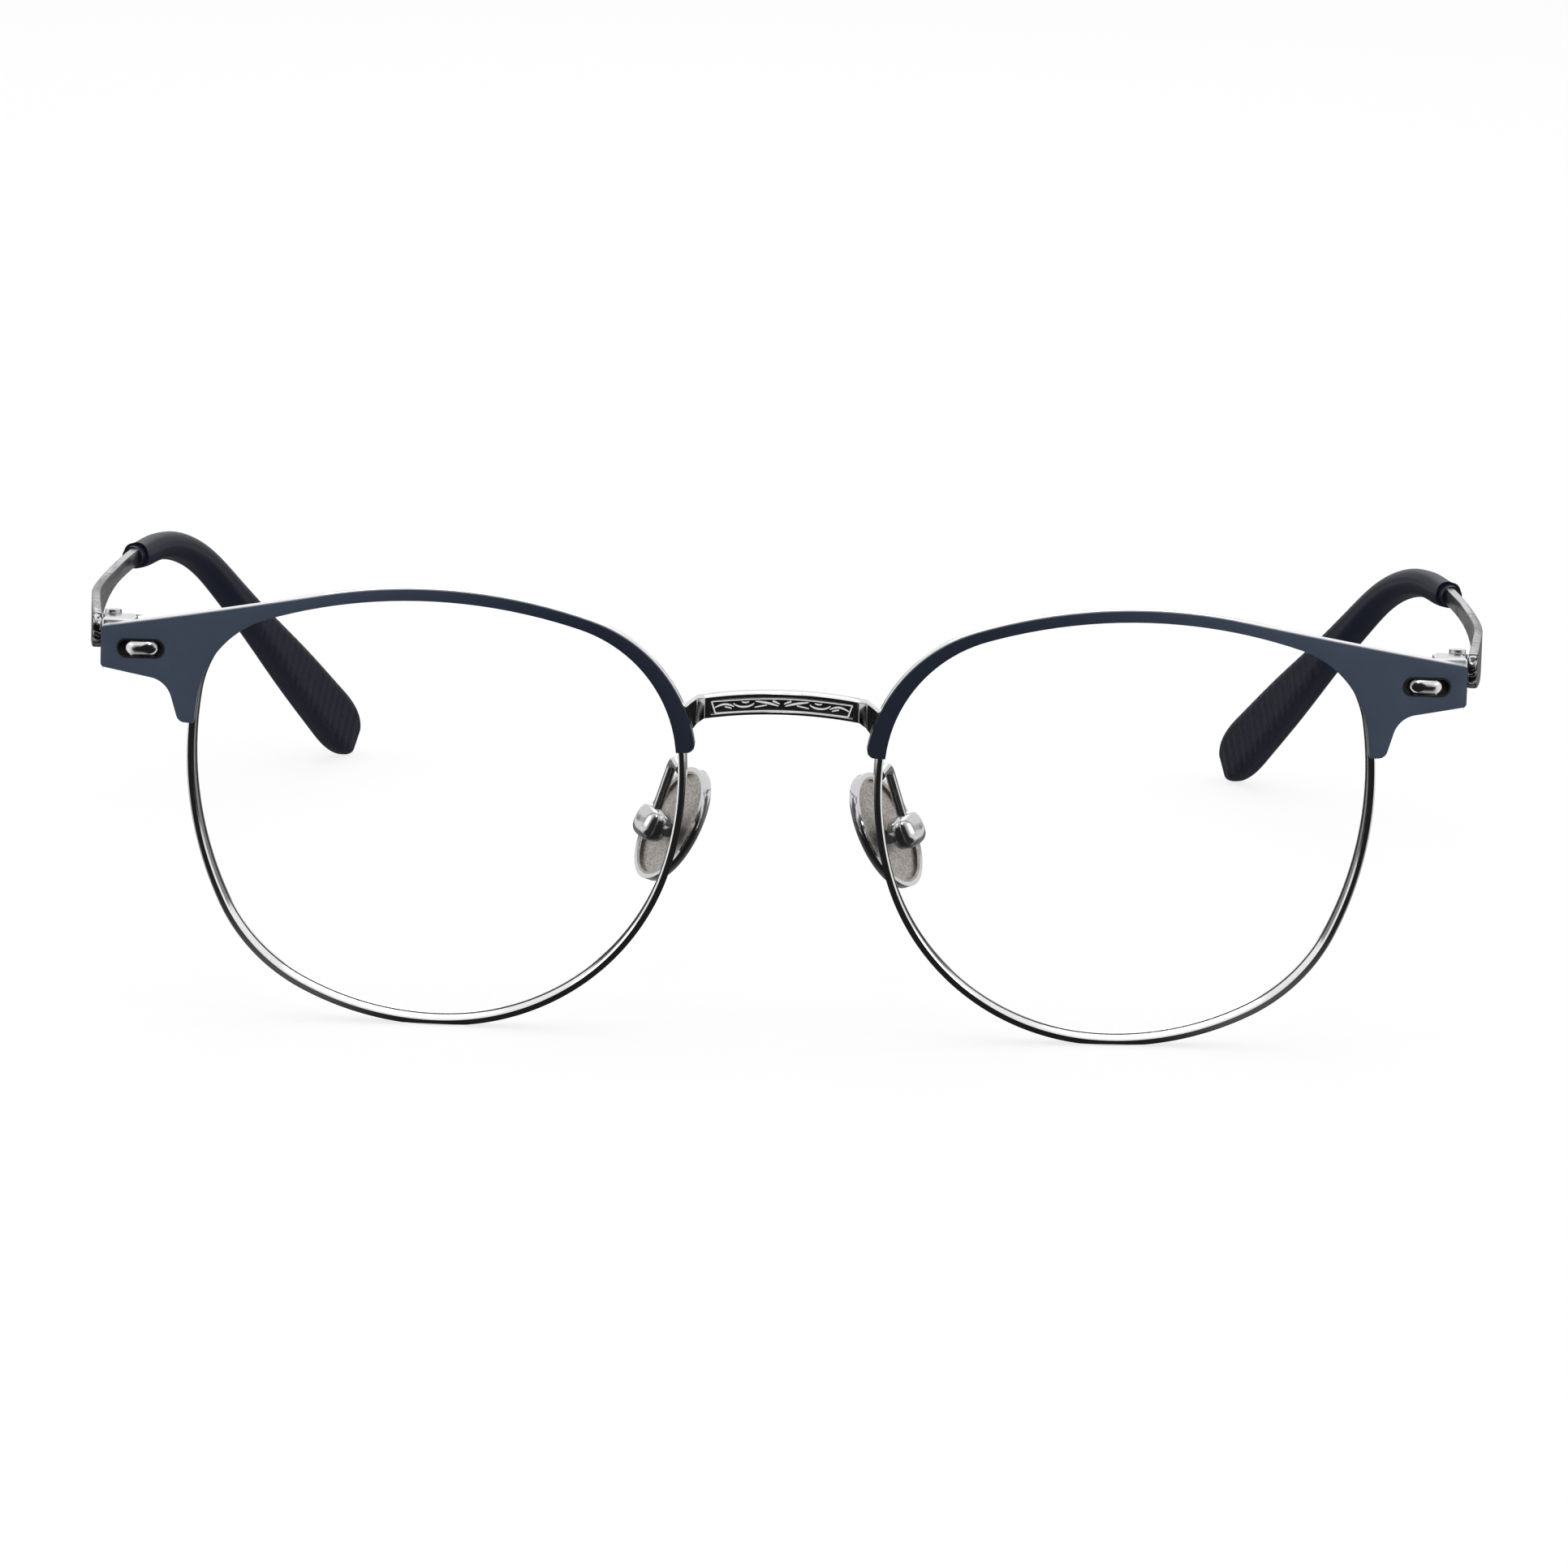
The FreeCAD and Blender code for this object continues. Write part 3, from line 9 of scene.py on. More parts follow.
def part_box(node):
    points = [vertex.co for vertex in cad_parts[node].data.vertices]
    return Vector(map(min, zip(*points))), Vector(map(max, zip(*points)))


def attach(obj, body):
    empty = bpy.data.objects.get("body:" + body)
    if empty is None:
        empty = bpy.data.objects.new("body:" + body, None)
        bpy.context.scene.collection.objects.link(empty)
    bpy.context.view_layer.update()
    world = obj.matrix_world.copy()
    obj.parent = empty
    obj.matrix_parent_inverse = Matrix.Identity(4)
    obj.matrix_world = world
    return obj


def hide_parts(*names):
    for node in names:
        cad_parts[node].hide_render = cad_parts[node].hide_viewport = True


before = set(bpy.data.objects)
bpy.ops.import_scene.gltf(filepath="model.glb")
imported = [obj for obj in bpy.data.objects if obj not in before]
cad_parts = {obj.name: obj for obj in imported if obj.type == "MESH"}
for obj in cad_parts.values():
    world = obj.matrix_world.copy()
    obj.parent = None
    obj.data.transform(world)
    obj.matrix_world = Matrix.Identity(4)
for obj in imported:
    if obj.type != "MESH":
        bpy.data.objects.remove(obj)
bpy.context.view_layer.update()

bl_info = {
    "name": "Browline glasses",
    "version": (1, 0, 0),
    "blender": (4, 5, 0),
    "location": "View3D > Sidebar > Glasses",
    "description": "Finishes, ornament and studio for a pair of browline glasses",
    "category": "Object",
}

MM = 0.001
SIDES = {"left": 1, "right": -1}
WHITE = (1.0, 1.0, 1.0)
BLACK = (0.0, 0.0, 0.0)
SENSOR_WIDTH = 36.0
ARCH_STEPS = 24

# Rounds on the sharp edges of the CAD nodes
EDGES = {"brow_plate": 0.14 * MM, "brow_base": 0.1 * MM, "bridge": 0.12 * MM, "nose_pad": 0.15 * MM,
         "end_piece": 0.25 * MM, "temple": 0.18 * MM}

# Studio lamps, left and right as in the picture: place, aim and width in metres, power in watts
LAMPS = {
    "overhead": ((0.0, -0.05, 0.9), (0.0, -0.03, 0.0), 0.8, 2.0),
    "left fill": ((-0.9, -0.35, 0.45), (0.0, -0.05, 0.02), 0.35, 0.6),
    "right fill": ((0.9, -0.35, 0.45), (0.0, -0.05, 0.02), 0.35, 0.6),
    "back rim": ((0.0, 0.9, 0.6), (0.0, -0.05, 0.03), 0.6, 1.2),
    "front key": ((0.0, -0.8, 0.7), (0.0, -0.06, 0.02), 0.22, 0.9),
}


class Value:
    """One shader value: arithmetic on it adds Math nodes to its tree."""

    def __init__(self, tree, socket):
        self.tree = tree
        self.socket = socket

    def node(self, kind, inputs=None, output=0, **settings):
        """Any other node of the same tree, as the value of one of its outputs."""
        made = self.tree.nodes.new(kind)
        for key, setting in settings.items():
            setattr(made, key, setting)
        for key, given in (inputs or {}).items():
            feed(self.tree, made.inputs[key], given)
        return Value(self.tree, made.outputs[output])

    def math(self, operation, *others):
        inputs = {0: self}
        inputs.update(enumerate(others, 1))
        return self.node("ShaderNodeMath", inputs, operation=operation)

    def __add__(self, other):
        return self.math("ADD", other)

    def __radd__(self, other):
        return self.math("ADD", other)

    def __sub__(self, other):
        return self.math("SUBTRACT", other)

    def __rsub__(self, other):
        return self.node("ShaderNodeMath", {0: other, 1: self}, operation="SUBTRACT")

    def __mul__(self, other):
        return self.math("MULTIPLY", other)

    def __rmul__(self, other):
        return self.math("MULTIPLY", other)

    def __truediv__(self, other):
        return self.math("DIVIDE", other)

    def __rtruediv__(self, other):
        return self.node("ShaderNodeMath", {0: other, 1: self}, operation="DIVIDE")

    def step(self, low, high, out_low=0.0, out_high=1.0):
        """A smooth ramp of this value between two limits."""
        inputs = {"Value": self, "From Min": low, "From Max": high, "To Min": out_low, "To Max": out_high}
        return self.node("ShaderNodeMapRange", inputs, interpolation_type="SMOOTHSTEP")

    def along(self, direction):
        """How far this vector reaches along a direction."""
        dot = {0: self, 1: tuple(direction)}
        return self.node("ShaderNodeVectorMath", dot, output="Value", operation="DOT_PRODUCT")

    def mix(self, first, second):
        """Two colours, mixed by this value."""
        return self.node("ShaderNodeMix", {0: self, 6: first, 7: second}, output=2, data_type="RGBA")


def feed(tree, socket, given):
    """Link a value to a socket, or set the socket to a number or colour."""
    if isinstance(given, Value):
        tree.links.new(given.socket, socket)
    elif socket.type == "RGBA" and len(given) == 3:
        socket.default_value = (*given, 1.0)
    else:
        socket.default_value = given


class Finish:
    """A material under construction: coordinates to start from, and its surface."""

    def __init__(self, name):
        self.material = bpy.data.materials.new(name)
        self.material.use_nodes = True
        self.tree = self.material.node_tree
        self.surface = self.tree.nodes["Principled BSDF"]
        self.start = Value(self.tree, None)

    def coordinates(self, output="Object"):
        made = self.start.node("ShaderNodeTexCoord")
        return Value(self.tree, made.socket.node.outputs[output])

    def axis(self, direction, output="Object"):
        """How far along a direction a point lies, in metres, or how far its normal leans that way."""
        return self.coordinates(output).along(direction)

    def noise(self, scale, detail=3.0, stretch=(1, 1, 1)):
        place = self.start.node("ShaderNodeMapping", {"Vector": self.coordinates(), "Scale": stretch})
        return self.start.node("ShaderNodeTexNoise", {"Vector": place, "Scale": scale, "Detail": detail})

    def bump(self, height, distance):
        return self.start.node("ShaderNodeBump", {"Height": height, "Distance": distance, "Strength": 1.0})

    def buffing(self):
        """Fine buffing marks, and the normal that they give."""
        marks = self.noise(scale=2600.0, detail=2.0, stretch=(1.0, 1.0, 0.2))
        return marks, self.bump(marks, 0.004 * MM)

    def set(self, **inputs):
        for key, given in inputs.items():
            feed(self.tree, self.surface.inputs[key.replace("_", " ")], given)
        return self.material


# Finishes


def polished_metal(name, colour, roughness, grain=0.05, metallic=1.0):
    """Polished metal: fine buffing marks, and faint clouding where it has been handled."""
    finish = Finish(name)
    marks, normal = finish.buffing()
    cloud = finish.noise(scale=180.0)
    tone = cloud.mix([c * 0.92 for c in colour], colour)
    return finish.set(Base_Color=tone, Metallic=metallic, Normal=normal,
                      Roughness=roughness + cloud * 0.05 + marks * grain)


def slotted_metal(name, colour, dark, roughness, spots, reach):
    """Polished metal with painted shade on the floors of slots: spots are their centres, reach is half a
    slot.
    """
    finish = Finish(name)
    marks, normal = finish.buffing()
    # Painted shade: the base metal turns dark and rougher within reach of each slot's middle.
    shade = 0.0
    for spot in spots:
        gap = {0: finish.coordinates(), 1: tuple(spot)}
        far = finish.start.node("ShaderNodeVectorMath", gap, output="Value", operation="DISTANCE")
        shade = shade + far.step(reach, reach * 1.05, 1.0, 0.0)
    tone = shade.mix(colour, dark)
    return finish.set(Base_Color=tone, Metallic=1.0, Normal=normal,
                      Roughness=roughness + marks * 0.05 + shade * 0.3)


def panelled_metal(name, settings, place):
    """Polished metal, blackened on the floor of the bridge's sunk panel."""
    finish = Finish(name)
    marks, normal = finish.buffing()
    back = (0.0, math.cos(place.tilt), math.sin(place.tilt))
    x = finish.axis((1, 0, 0))
    depth = finish.axis(back) - (place.behind * back[1] + place.above * back[2])
    floor = place.floor + place.plan_radius - (place.plan_radius ** 2 - x * x).math("SQRT")
    off = depth - floor
    sunk = off.step(-0.1 * MM, -0.05 * MM) * off.step(0.05 * MM, 0.1 * MM, 1.0, 0.0)
    sunk = sunk * x.math("ABSOLUTE").step(place.panel_half * 1.01, place.panel_half * 1.03, 1.0, 0.0)
    tone = sunk.mix(settings.fitting_colour, settings.panel_colour)
    return finish.set(Base_Color=tone, Metallic=1.0, Normal=normal, Roughness=0.1 + marks * 0.05 + sunk * 0.3)


def engraved_metal(name, colour, dark, roughness, along, upto):
    """Polished metal, darkened and cut with fine scrolling lines up to a distance along an axis."""
    finish = Finish(name)
    cloud = finish.noise(scale=200.0)
    wave = finish.start.node("ShaderNodeTexWave", {"Vector": finish.coordinates(), "Scale": 620.0,
                                                   "Distortion": 7.0, "Detail": 2.0, "Detail Scale": 1.4},
                             output="Fac", wave_type="RINGS", rings_direction="X")
    here = finish.axis(along).step(upto - 4 * MM, upto, 1.0, 0.0)
    lines = wave.step(0.35, 0.6) * here
    tone = lines.mix(colour, dark)
    return finish.set(Base_Color=tone, Metallic=1.0, Roughness=roughness + cloud * 0.08 + lines * 0.12,
                      Normal=finish.bump(1.0 - lines, 0.08 * MM))


def blasted_metal(name, settings, place, axes):
    """Pad metal: a grainy blasted dish inside a thin polished edge."""
    finish = Finish(name)
    grain = finish.noise(scale=settings.grain_scale, detail=2.0)
    cloud = finish.noise(scale=300.0)
    spot, facing, across, along = axes
    rise = finish.axis(facing) - spot.dot(facing)
    out = (finish.axis(across) - spot.dot(across)) / (place.breadth / 2)
    up = (finish.axis(along) - spot.dot(along)) / (place.length / 2)
    inside = (out * out + up * up).step(place.polish_from, place.polish_from + 0.02, 1.0, 0.0)
    inside = inside * rise.step(place.dish_from, place.dish_from + 0.1 * MM)
    inside = inside * rise.step(place.dish_to, place.dish_to + 0.1 * MM, 1.0, 0.0)
    polished, dish = settings.fitting_colour, settings.pad_colour
    speckle = grain.step(0.35, 0.65) * 0.8 + cloud * 0.2
    tone = inside.mix(polished, speckle.mix([c * 0.6 for c in dish], dish))
    return finish.set(Base_Color=tone, Metallic=1.0, Roughness=0.1 + inside * 0.32,
                      Normal=finish.bump(grain * inside, 0.03 * MM))


def navy_lacquer(name, settings):
    """Satin navy lacquer: lighter and bluer by the temples, darker by the nose, with a soft orange peel."""
    finish = Finish(name)
    out = finish.axis((1, 0, 0)).math("ABSOLUTE").step(settings.navy_from, settings.navy_to)
    cloud = finish.noise(scale=90.0)
    tone = out.mix(settings.navy_nose, settings.navy_temple)
    tone = (cloud * 0.25).mix(tone, settings.navy_cloud)
    peel = finish.noise(scale=1400.0, detail=1.0)
    return finish.set(Base_Color=tone, Roughness=settings.navy_roughness + cloud * 0.08, IOR=1.45,
                      Specular_IOR_Level=0.3, Coat_Weight=0.08, Coat_Roughness=0.25,
                      Normal=finish.bump(peel, 0.003 * MM))


def tip_moulding(name, side, settings):
    """Navy moulding: fine ribs across the inner face of the paddle, smooth elsewhere, with a painted
    highlight on the ribs' crests.
    """
    finish = Finish(name)
    sign = SIDES[side]
    inward = Vector((-1.0 * sign, -0.2, 0.3)).normalized()
    across = Vector((-0.98 * sign, 0.0, -0.2))
    ribs = (finish.axis(across) * (math.tau / settings.rib_pitch)).math("SINE")
    face = finish.axis(inward, "Normal").step(0.45, 0.65)
    behind = finish.axis((0, 1, 0)).step(settings.rib_from, settings.rib_from + 6 * MM)
    mask = face * behind
    cloud = finish.noise(scale=120.0)
    # Painted highlight: the ribs' crests are coloured lighter, on top of their bump.
    tone = (mask * (ribs * 0.5 + 0.5)).mix(settings.tip_dark, settings.tip_rib_highlight)
    return finish.set(Base_Color=(cloud * 0.3).mix(tone, settings.tip_dark), IOR=1.48,
                      Roughness=settings.tip_roughness + cloud * 0.1 + mask * 0.08, Specular_IOR_Level=0.1,
                      Normal=finish.bump(ribs * mask + finish.noise(scale=900.0) * 0.06, 0.06 * MM))


def clear_lens(name, settings):
    """Clear lens: almost nothing but a faint reflection that grows at a glancing angle."""
    finish = Finish(name)
    glance = finish.start.node("ShaderNodeLayerWeight", {"Blend": 0.35}, output="Facing")
    smear = finish.noise(scale=40.0)
    finish.material.surface_render_method = "BLENDED"
    return finish.set(Base_Color=smear.mix(settings.lens_tint, WHITE), Roughness=0.02 + smear * 0.02, IOR=1.5,
                      Alpha=glance * settings.lens_glance + settings.lens_alpha)


def background_rays(start):
    """1 for the rays that see the background: those of the camera, of reflections and through glass."""
    path = start.node("ShaderNodeLightPath", output="Is Camera Ray")
    rays = path.socket.node.outputs
    for kind in ("Is Glossy Ray", "Is Transmission Ray"):
        path = path.math("MAXIMUM", Value(start.tree, rays[kind]))
    return path


# Helpers for the pieces


def nodes_of(*kinds):
    return [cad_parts[f"{kind}_{side}"] for kind in kinds for side in SIDES]


def dress(material, things):
    """Give CAD nodes a finish."""
    for thing in things:
        thing.data.materials.clear()
        thing.data.materials.append(material)


def soften(things, width, clamp=False):
    """Break the sharp edges of CAD nodes with a small round."""
    for thing in things:
        weld = thing.modifiers.new("join seams", "WELD")
        weld.merge_threshold = 0.01 * MM
        bevel = thing.modifiers.new("broken edges", "BEVEL")
        bevel.width = width
        bevel.segments = 3
        bevel.limit_method = "ANGLE"
        bevel.angle_limit = math.radians(38)
        bevel.use_clamp_overlap = clamp
        bevel.harden_normals = True


def add_piece(name, mesh, material, replaced):
    """Put a mesh on the front in place of a CAD node."""
    mesh.materials.append(material)
    piece = bpy.data.objects.new(name, mesh)
    bpy.context.scene.collection.objects.link(piece)
    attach(piece, "front")
    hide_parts(replaced)
    return piece


def grid_mesh(name, rows, sharp, closed):
    """A smooth mesh over rows of points: each row is a ring, and the rows close on each other if asked."""
    wide = len(rows[0])
    points = [point for row in rows for point in row]
    faces = []
    for row in range(len(rows) if closed else len(rows) - 1):
        after = (row + 1) % len(rows)
        for place in range(wide):
            beside = (place + 1) % wide
            faces.append((row * wide + place, row * wide + beside,
                          after * wide + beside, after * wide + place))
    if not closed:
        faces += [tuple(range(wide)), tuple(range(len(points) - wide, len(points)))]
    mesh = bpy.data.meshes.new(name)
    mesh.from_pydata(points, [], faces)
    sheet = bmesh.new()
    sheet.from_mesh(mesh)
    bmesh.ops.recalc_face_normals(sheet, faces=sheet.faces)
    sheet.to_mesh(mesh)
    sheet.free()
    mesh.polygons.foreach_set("use_smooth", [True] * len(mesh.polygons))
    mesh.set_sharp_from_angle(angle=sharp)
    return mesh


def circles_meet(first, reach, second, other, towards):
    """The point on one side where two circles cross."""
    gap = second - first
    along = (reach ** 2 - other ** 2 + gap.length_squared) / (2 * gap.length)
    middle = first + gap * (along / gap.length)
    side = Vector((-gap.y, gap.x)) * (math.sqrt(reach ** 2 - along ** 2) / gap.length)
    return max((middle + side, middle - side), key=lambda point: (point - middle).dot(towards))


def leaned_frame(place):
    """From the frame of the leaned front to the table."""
    return Matrix.Translation((0, place.behind, place.above)) @ Matrix.Rotation(place.tilt, 4, "X")


def stroke(name, runs, thickness, material):
    """Raised beads along smooth tapered lines: each run is a list of (point, share of the thickness)."""
    curve = bpy.data.curves.new(name, "CURVE")
    curve.dimensions = "3D"
    curve.bevel_depth = thickness
    curve.bevel_resolution = 3
    curve.use_fill_caps = True
    curve.resolution_u = 6
    for run in runs:
        line = curve.splines.new("NURBS")
        line.points.add(len(run) - 1)
        for point, (place, share) in zip(line.points, run):
            point.co = (*place, 1.0)
            point.radius = share
        line.order_u = 3
        line.use_endpoint_u = True
    piece = bpy.data.objects.new(name, curve)
    bpy.context.scene.collection.objects.link(piece)
    curve.materials.append(material)
    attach(piece, "front")
    return piece


class FinishSettings(bpy.types.PropertyGroup):
    """Colours and finishes of the glasses."""

    rim_colour: FloatVectorProperty(
        name="Eyewire", description="Colour of the eyewires", subtype="COLOR", default=(0.80, 0.80, 0.81))
    brow_colour: FloatVectorProperty(
        name="Brow metal", description="Colour of the brow's metal base and studs", subtype="COLOR",
        default=(0.72, 0.72, 0.73))
    fitting_colour: FloatVectorProperty(
        name="Fittings", description="Colour of the bridge, hinges, screws and pad fittings",
        subtype="COLOR", default=(0.62, 0.62, 0.63))
    temple_colour: FloatVectorProperty(
        name="Temples", description="Colour of the metal temples", subtype="COLOR",
        default=(0.40, 0.40, 0.41))
    # The same colour also serves as the painted shade on the slots' floors of the brow base.
    engraving_and_slot_shade_colour: FloatVectorProperty(
        name="Engraving", description="Colour of the engraving and of the slots' floors", subtype="COLOR",
        default=(0.06, 0.06, 0.065))
    relief_colour: FloatVectorProperty(
        name="Relief", description="Colour of the bridge's raised ornament", subtype="COLOR",
        default=(0.95, 0.95, 0.95))
    panel_colour: FloatVectorProperty(
        name="Panel", description="Colour of the blackened floor of the bridge's panel", subtype="COLOR",
        default=(0.14, 0.14, 0.145))
    pad_colour: FloatVectorProperty(
        name="Pad dish", description="Colour of the blasted face of the pads", subtype="COLOR",
        default=(0.46, 0.43, 0.40))
    grain_scale: FloatProperty(
        name="Blast grain", description="Fineness of the blasted grain", default=4200.0)
    navy_temple: FloatVectorProperty(
        name="Navy by the temples", description="Brow colour at the outer end", subtype="COLOR",
        default=(0.050, 0.068, 0.104))
    navy_nose: FloatVectorProperty(
        name="Navy by the nose", description="Brow colour at the bridge", subtype="COLOR",
        default=(0.010, 0.016, 0.032))
    navy_cloud: FloatVectorProperty(
        name="Navy clouding", description="Colour of the faint clouds in the navy", subtype="COLOR",
        default=(0.033, 0.045, 0.071))
    navy_from: FloatProperty(
        name="Navy change from", description="Where the brow starts to lighten", unit="LENGTH",
        default=15 * MM)
    navy_to: FloatProperty(
        name="Navy change to", description="Where the brow has its lightest colour", unit="LENGTH",
        default=56 * MM)
    navy_roughness: FloatProperty(name="Navy roughness", description="Roughness of the brow", default=0.38)
    tip_dark: FloatVectorProperty(
        name="Tip", description="Colour of the temple tips", subtype="COLOR", default=(0.008, 0.010, 0.020))
    # Painted highlight on the crests of the tips' ribs.
    tip_rib_highlight: FloatVectorProperty(
        name="Tip ribs", description="Colour on the ribs of the temple tips", subtype="COLOR",
        default=(0.014, 0.015, 0.025))
    tip_roughness: FloatProperty(
        name="Tip roughness", description="Roughness of the temple tips", default=0.34)
    rib_pitch: FloatProperty(
        name="Rib pitch", description="Distance between the ribs of a tip", unit="LENGTH",
        default=0.76 * MM)
    rib_from: FloatProperty(
        name="Ribs from", description="Where the ribs of a tip begin", unit="LENGTH", default=44 * MM)
    lens_tint: FloatVectorProperty(
        name="Lens tint", description="Colour of the lens", subtype="COLOR", default=(0.97, 0.98, 0.98))
    lens_alpha: FloatProperty(
        name="Lens strength", description="How much of the lens shows face on", default=0.002)
    lens_glance: FloatProperty(
        name="Lens glance", description="How much more shows at a glancing angle", default=0.03)


class EyewireSettings(bpy.types.PropertyGroup):
    """The line that an eyewire follows round its lens, and its section."""

    lens_width: FloatProperty(
        name="Lens width", description="Width of the lens opening", unit="LENGTH", default=50.1 * MM)
    lens_height: FloatProperty(
        name="Lens height", description="Height of the lens opening", unit="LENGTH", default=45.0 * MM)
    lens_gap: FloatProperty(
        name="Lens gap", description="Distance between the lenses", unit="LENGTH", default=20.95 * MM)
    sides: FloatVectorProperty(
        name="Sides", description="Radii of the temporal side, top, nasal side and bottom", size=4,
        unit="LENGTH", default=(38.1 * MM, 51.3 * MM, 33.4 * MM, 30.2 * MM))
    corners: FloatVectorProperty(
        name="Corners", description="Radii of the corners, from the top temporal one", size=4,
        unit="LENGTH", default=(10.9 * MM, 14.5 * MM, 24.0 * MM, 17.8 * MM))
    shifts: FloatVectorProperty(
        name="Shifts", description="Where the four sides have their middles", size=4, unit="LENGTH",
        default=(5.05 * MM, 0.67 * MM, 4.25 * MM, -0.2 * MM))
    base_curve: FloatProperty(
        name="Base curve", description="Radius of the front's dome", unit="LENGTH", default=160 * MM)
    wrap: FloatProperty(
        name="Wrap", description="How far each lens is turned round the face", subtype="ANGLE",
        default=math.radians(3.0))
    width: FloatProperty(name="Width", description="Width of the eyewire", unit="LENGTH", default=0.8 * MM)
    depth: FloatProperty(name="Depth", description="Depth of the eyewire", unit="LENGTH", default=2.2 * MM)
    chamfer: FloatProperty(
        name="Chamfer", description="Width of the bright chamfers beside its face", unit="LENGTH",
        default=0.16 * MM)
    lip: FloatProperty(
        name="Lip", description="How far the lip behind the lens stands in", unit="LENGTH",
        default=0.08 * MM)
    lip_from: FloatProperty(
        name="Lip from", description="Start of the lip behind the middle, as a share of half the depth",
        default=0.6)
    step: FloatProperty(
        name="Step", description="Turn between two sections", subtype="ANGLE", default=math.radians(1.5))


class PadSettings(bpy.types.PropertyGroup):
    """Where the left pad lies, its dish, and the knob that holds it."""

    spot: FloatVectorProperty(
        name="Place", description="Middle of the pad's nose side", unit="LENGTH",
        default=(10.75 * MM, -56.749 * MM, 20.298 * MM))
    facing: FloatVectorProperty(
        name="Facing", description="Direction that the dish faces", subtype="DIRECTION",
        default=(0.646538, -0.665584, 0.372808))
    along: FloatVectorProperty(
        name="Along", description="Direction along the pad", subtype="DIRECTION",
        default=(-0.43837, 0.07582, 0.89559))
    breadth: FloatProperty(
        name="Breadth", description="Breadth of the pad", unit="LENGTH", default=7.0 * MM)
    length: FloatProperty(name="Length", description="Length of the pad", unit="LENGTH", default=12.8 * MM)
    polish_from: FloatProperty(
        name="Polished edge", description="Where the edge is polished, as a squared share", default=0.84)
    dish_from: FloatProperty(
        name="Dish from", description="Height at which the blasted face begins", unit="LENGTH",
        default=0.4 * MM)
    dish_to: FloatProperty(
        name="Dish to", description="Height at which the blasted face ends", unit="LENGTH",
        default=1.3 * MM)
    knob_stand: FloatProperty(
        name="Knob stand", description="Height of the knob's middle over the pad", unit="LENGTH",
        default=3.45 * MM)
    knob_drop: FloatProperty(
        name="Knob drop", description="How far the knob sits below the pad's middle", unit="LENGTH",
        default=0.6 * MM)
    knob_half: FloatVectorProperty(
        name="Knob", description="Half depth, length and height of the knob", unit="LENGTH",
        default=(1.5 * MM, 1.78 * MM, 1.85 * MM))
    knob_square: FloatProperty(
        name="Knob squareness", description="2 is a ball, more is squarer", default=3.0)
    slot_half: FloatProperty(
        name="Slot", description="Half width of the knob's slot for the pad", unit="LENGTH",
        default=0.85 * MM)
    slot_end: FloatProperty(
        name="Slot end", description="How deep the slot goes past the knob's middle", unit="LENGTH",
        default=0.25 * MM)
    rings: IntProperty(name="Rings", description="Rings of the knob", default=24)
    steps: IntProperty(name="Steps", description="Points round each ring", default=40)


class StudSettings(bpy.types.PropertyGroup):
    """The oval stud in the slot of each brow plate."""

    length: FloatProperty(name="Length", description="Length of the stud", unit="LENGTH", default=3.7 * MM)
    width: FloatProperty(name="Width", description="Width of the stud", unit="LENGTH", default=1.66 * MM)
    height: FloatProperty(
        name="Height", description="Height of the crown over its foot", unit="LENGTH", default=0.85 * MM)
    sink: FloatProperty(
        name="Sink", description="How deep the foot lies below the slot's middle", unit="LENGTH",
        default=0.25 * MM)
    crown: FloatProperty(name="Crown", description="Fullness of the crown: less is fuller", default=1.0)
    tilt: FloatProperty(
        name="Tilt", description="Fall of the stud's outer end", subtype="ANGLE", default=math.radians(3.5))
    lean: FloatVectorProperty(
        name="Facing", description="Direction that the stud faces", subtype="DIRECTION",
        default=(0.24, -0.965, 0.04))
    rings: IntProperty(name="Rings", description="Rings of the crown", default=12)
    steps: IntProperty(name="Steps", description="Points round each ring", default=48)


class BridgeSettings(bpy.types.PropertyGroup):
    """Where the bridge's sunk panel lies, and the ornament in it."""

    tilt: FloatProperty(
        name="Tilt", description="Lean of the bridge on the table", subtype="ANGLE",
        default=math.radians(8.0 - 4.839))
    behind: FloatProperty(
        name="Behind", description="Depth of the wearing frame's origin", unit="LENGTH",
        default=-66.939 * MM)
    above: FloatProperty(
        name="Above", description="Height of the wearing frame's origin", unit="LENGTH",
        default=23.218 * MM)
    panel_half: FloatProperty(
        name="Panel half length", description="Half of the panel's length", unit="LENGTH", default=7.3 * MM)
    panel_middle: FloatProperty(
        name="Panel middle", description="Height of the panel's middle", unit="LENGTH", default=13.125 * MM)
    panel_rise: FloatProperty(
        name="Panel half height", description="Half of the panel's height", unit="LENGTH",
        default=0.725 * MM)
    arch: FloatProperty(
        name="Arch", description="Drop of the arch at the panel's end", unit="LENGTH", default=0.726 * MM)
    floor: FloatProperty(
        name="Floor", description="Depth of the panel's floor at its middle", unit="LENGTH",
        default=-2.08 * MM)
    plan_radius: FloatProperty(
        name="Plan radius", description="Curve of the panel's floor in plan", unit="LENGTH",
        default=39.78 * MM)
    bead: FloatProperty(
        name="Bead", description="Half thickness of the ornament's beads", unit="LENGTH", default=0.1 * MM)
    border_top: FloatProperty(
        name="Border top", description="Share of the panel's length that the border has above",
        default=0.985)
    border_low: FloatProperty(
        name="Border foot", description="Share of the panel's length that the border has below",
        default=0.93)
    border_up: FloatProperty(
        name="Border rise", description="Share of the panel's half height at the border's top",
        default=0.87)
    border_down: FloatProperty(
        name="Border fall", description="Share of the panel's half height at the border's foot",
        default=0.9)
    border_bead: FloatProperty(
        name="Border bead", description="Thickness of the border, as a share of a bead", default=0.8)
    scroll_height: FloatProperty(
        name="Scroll height", description="Scale of the scroll's strokes in height", default=0.85)
    scroll_drop: FloatProperty(
        name="Scroll drop", description="Drop of the scroll, as a share of the panel's half height",
        default=0.06)


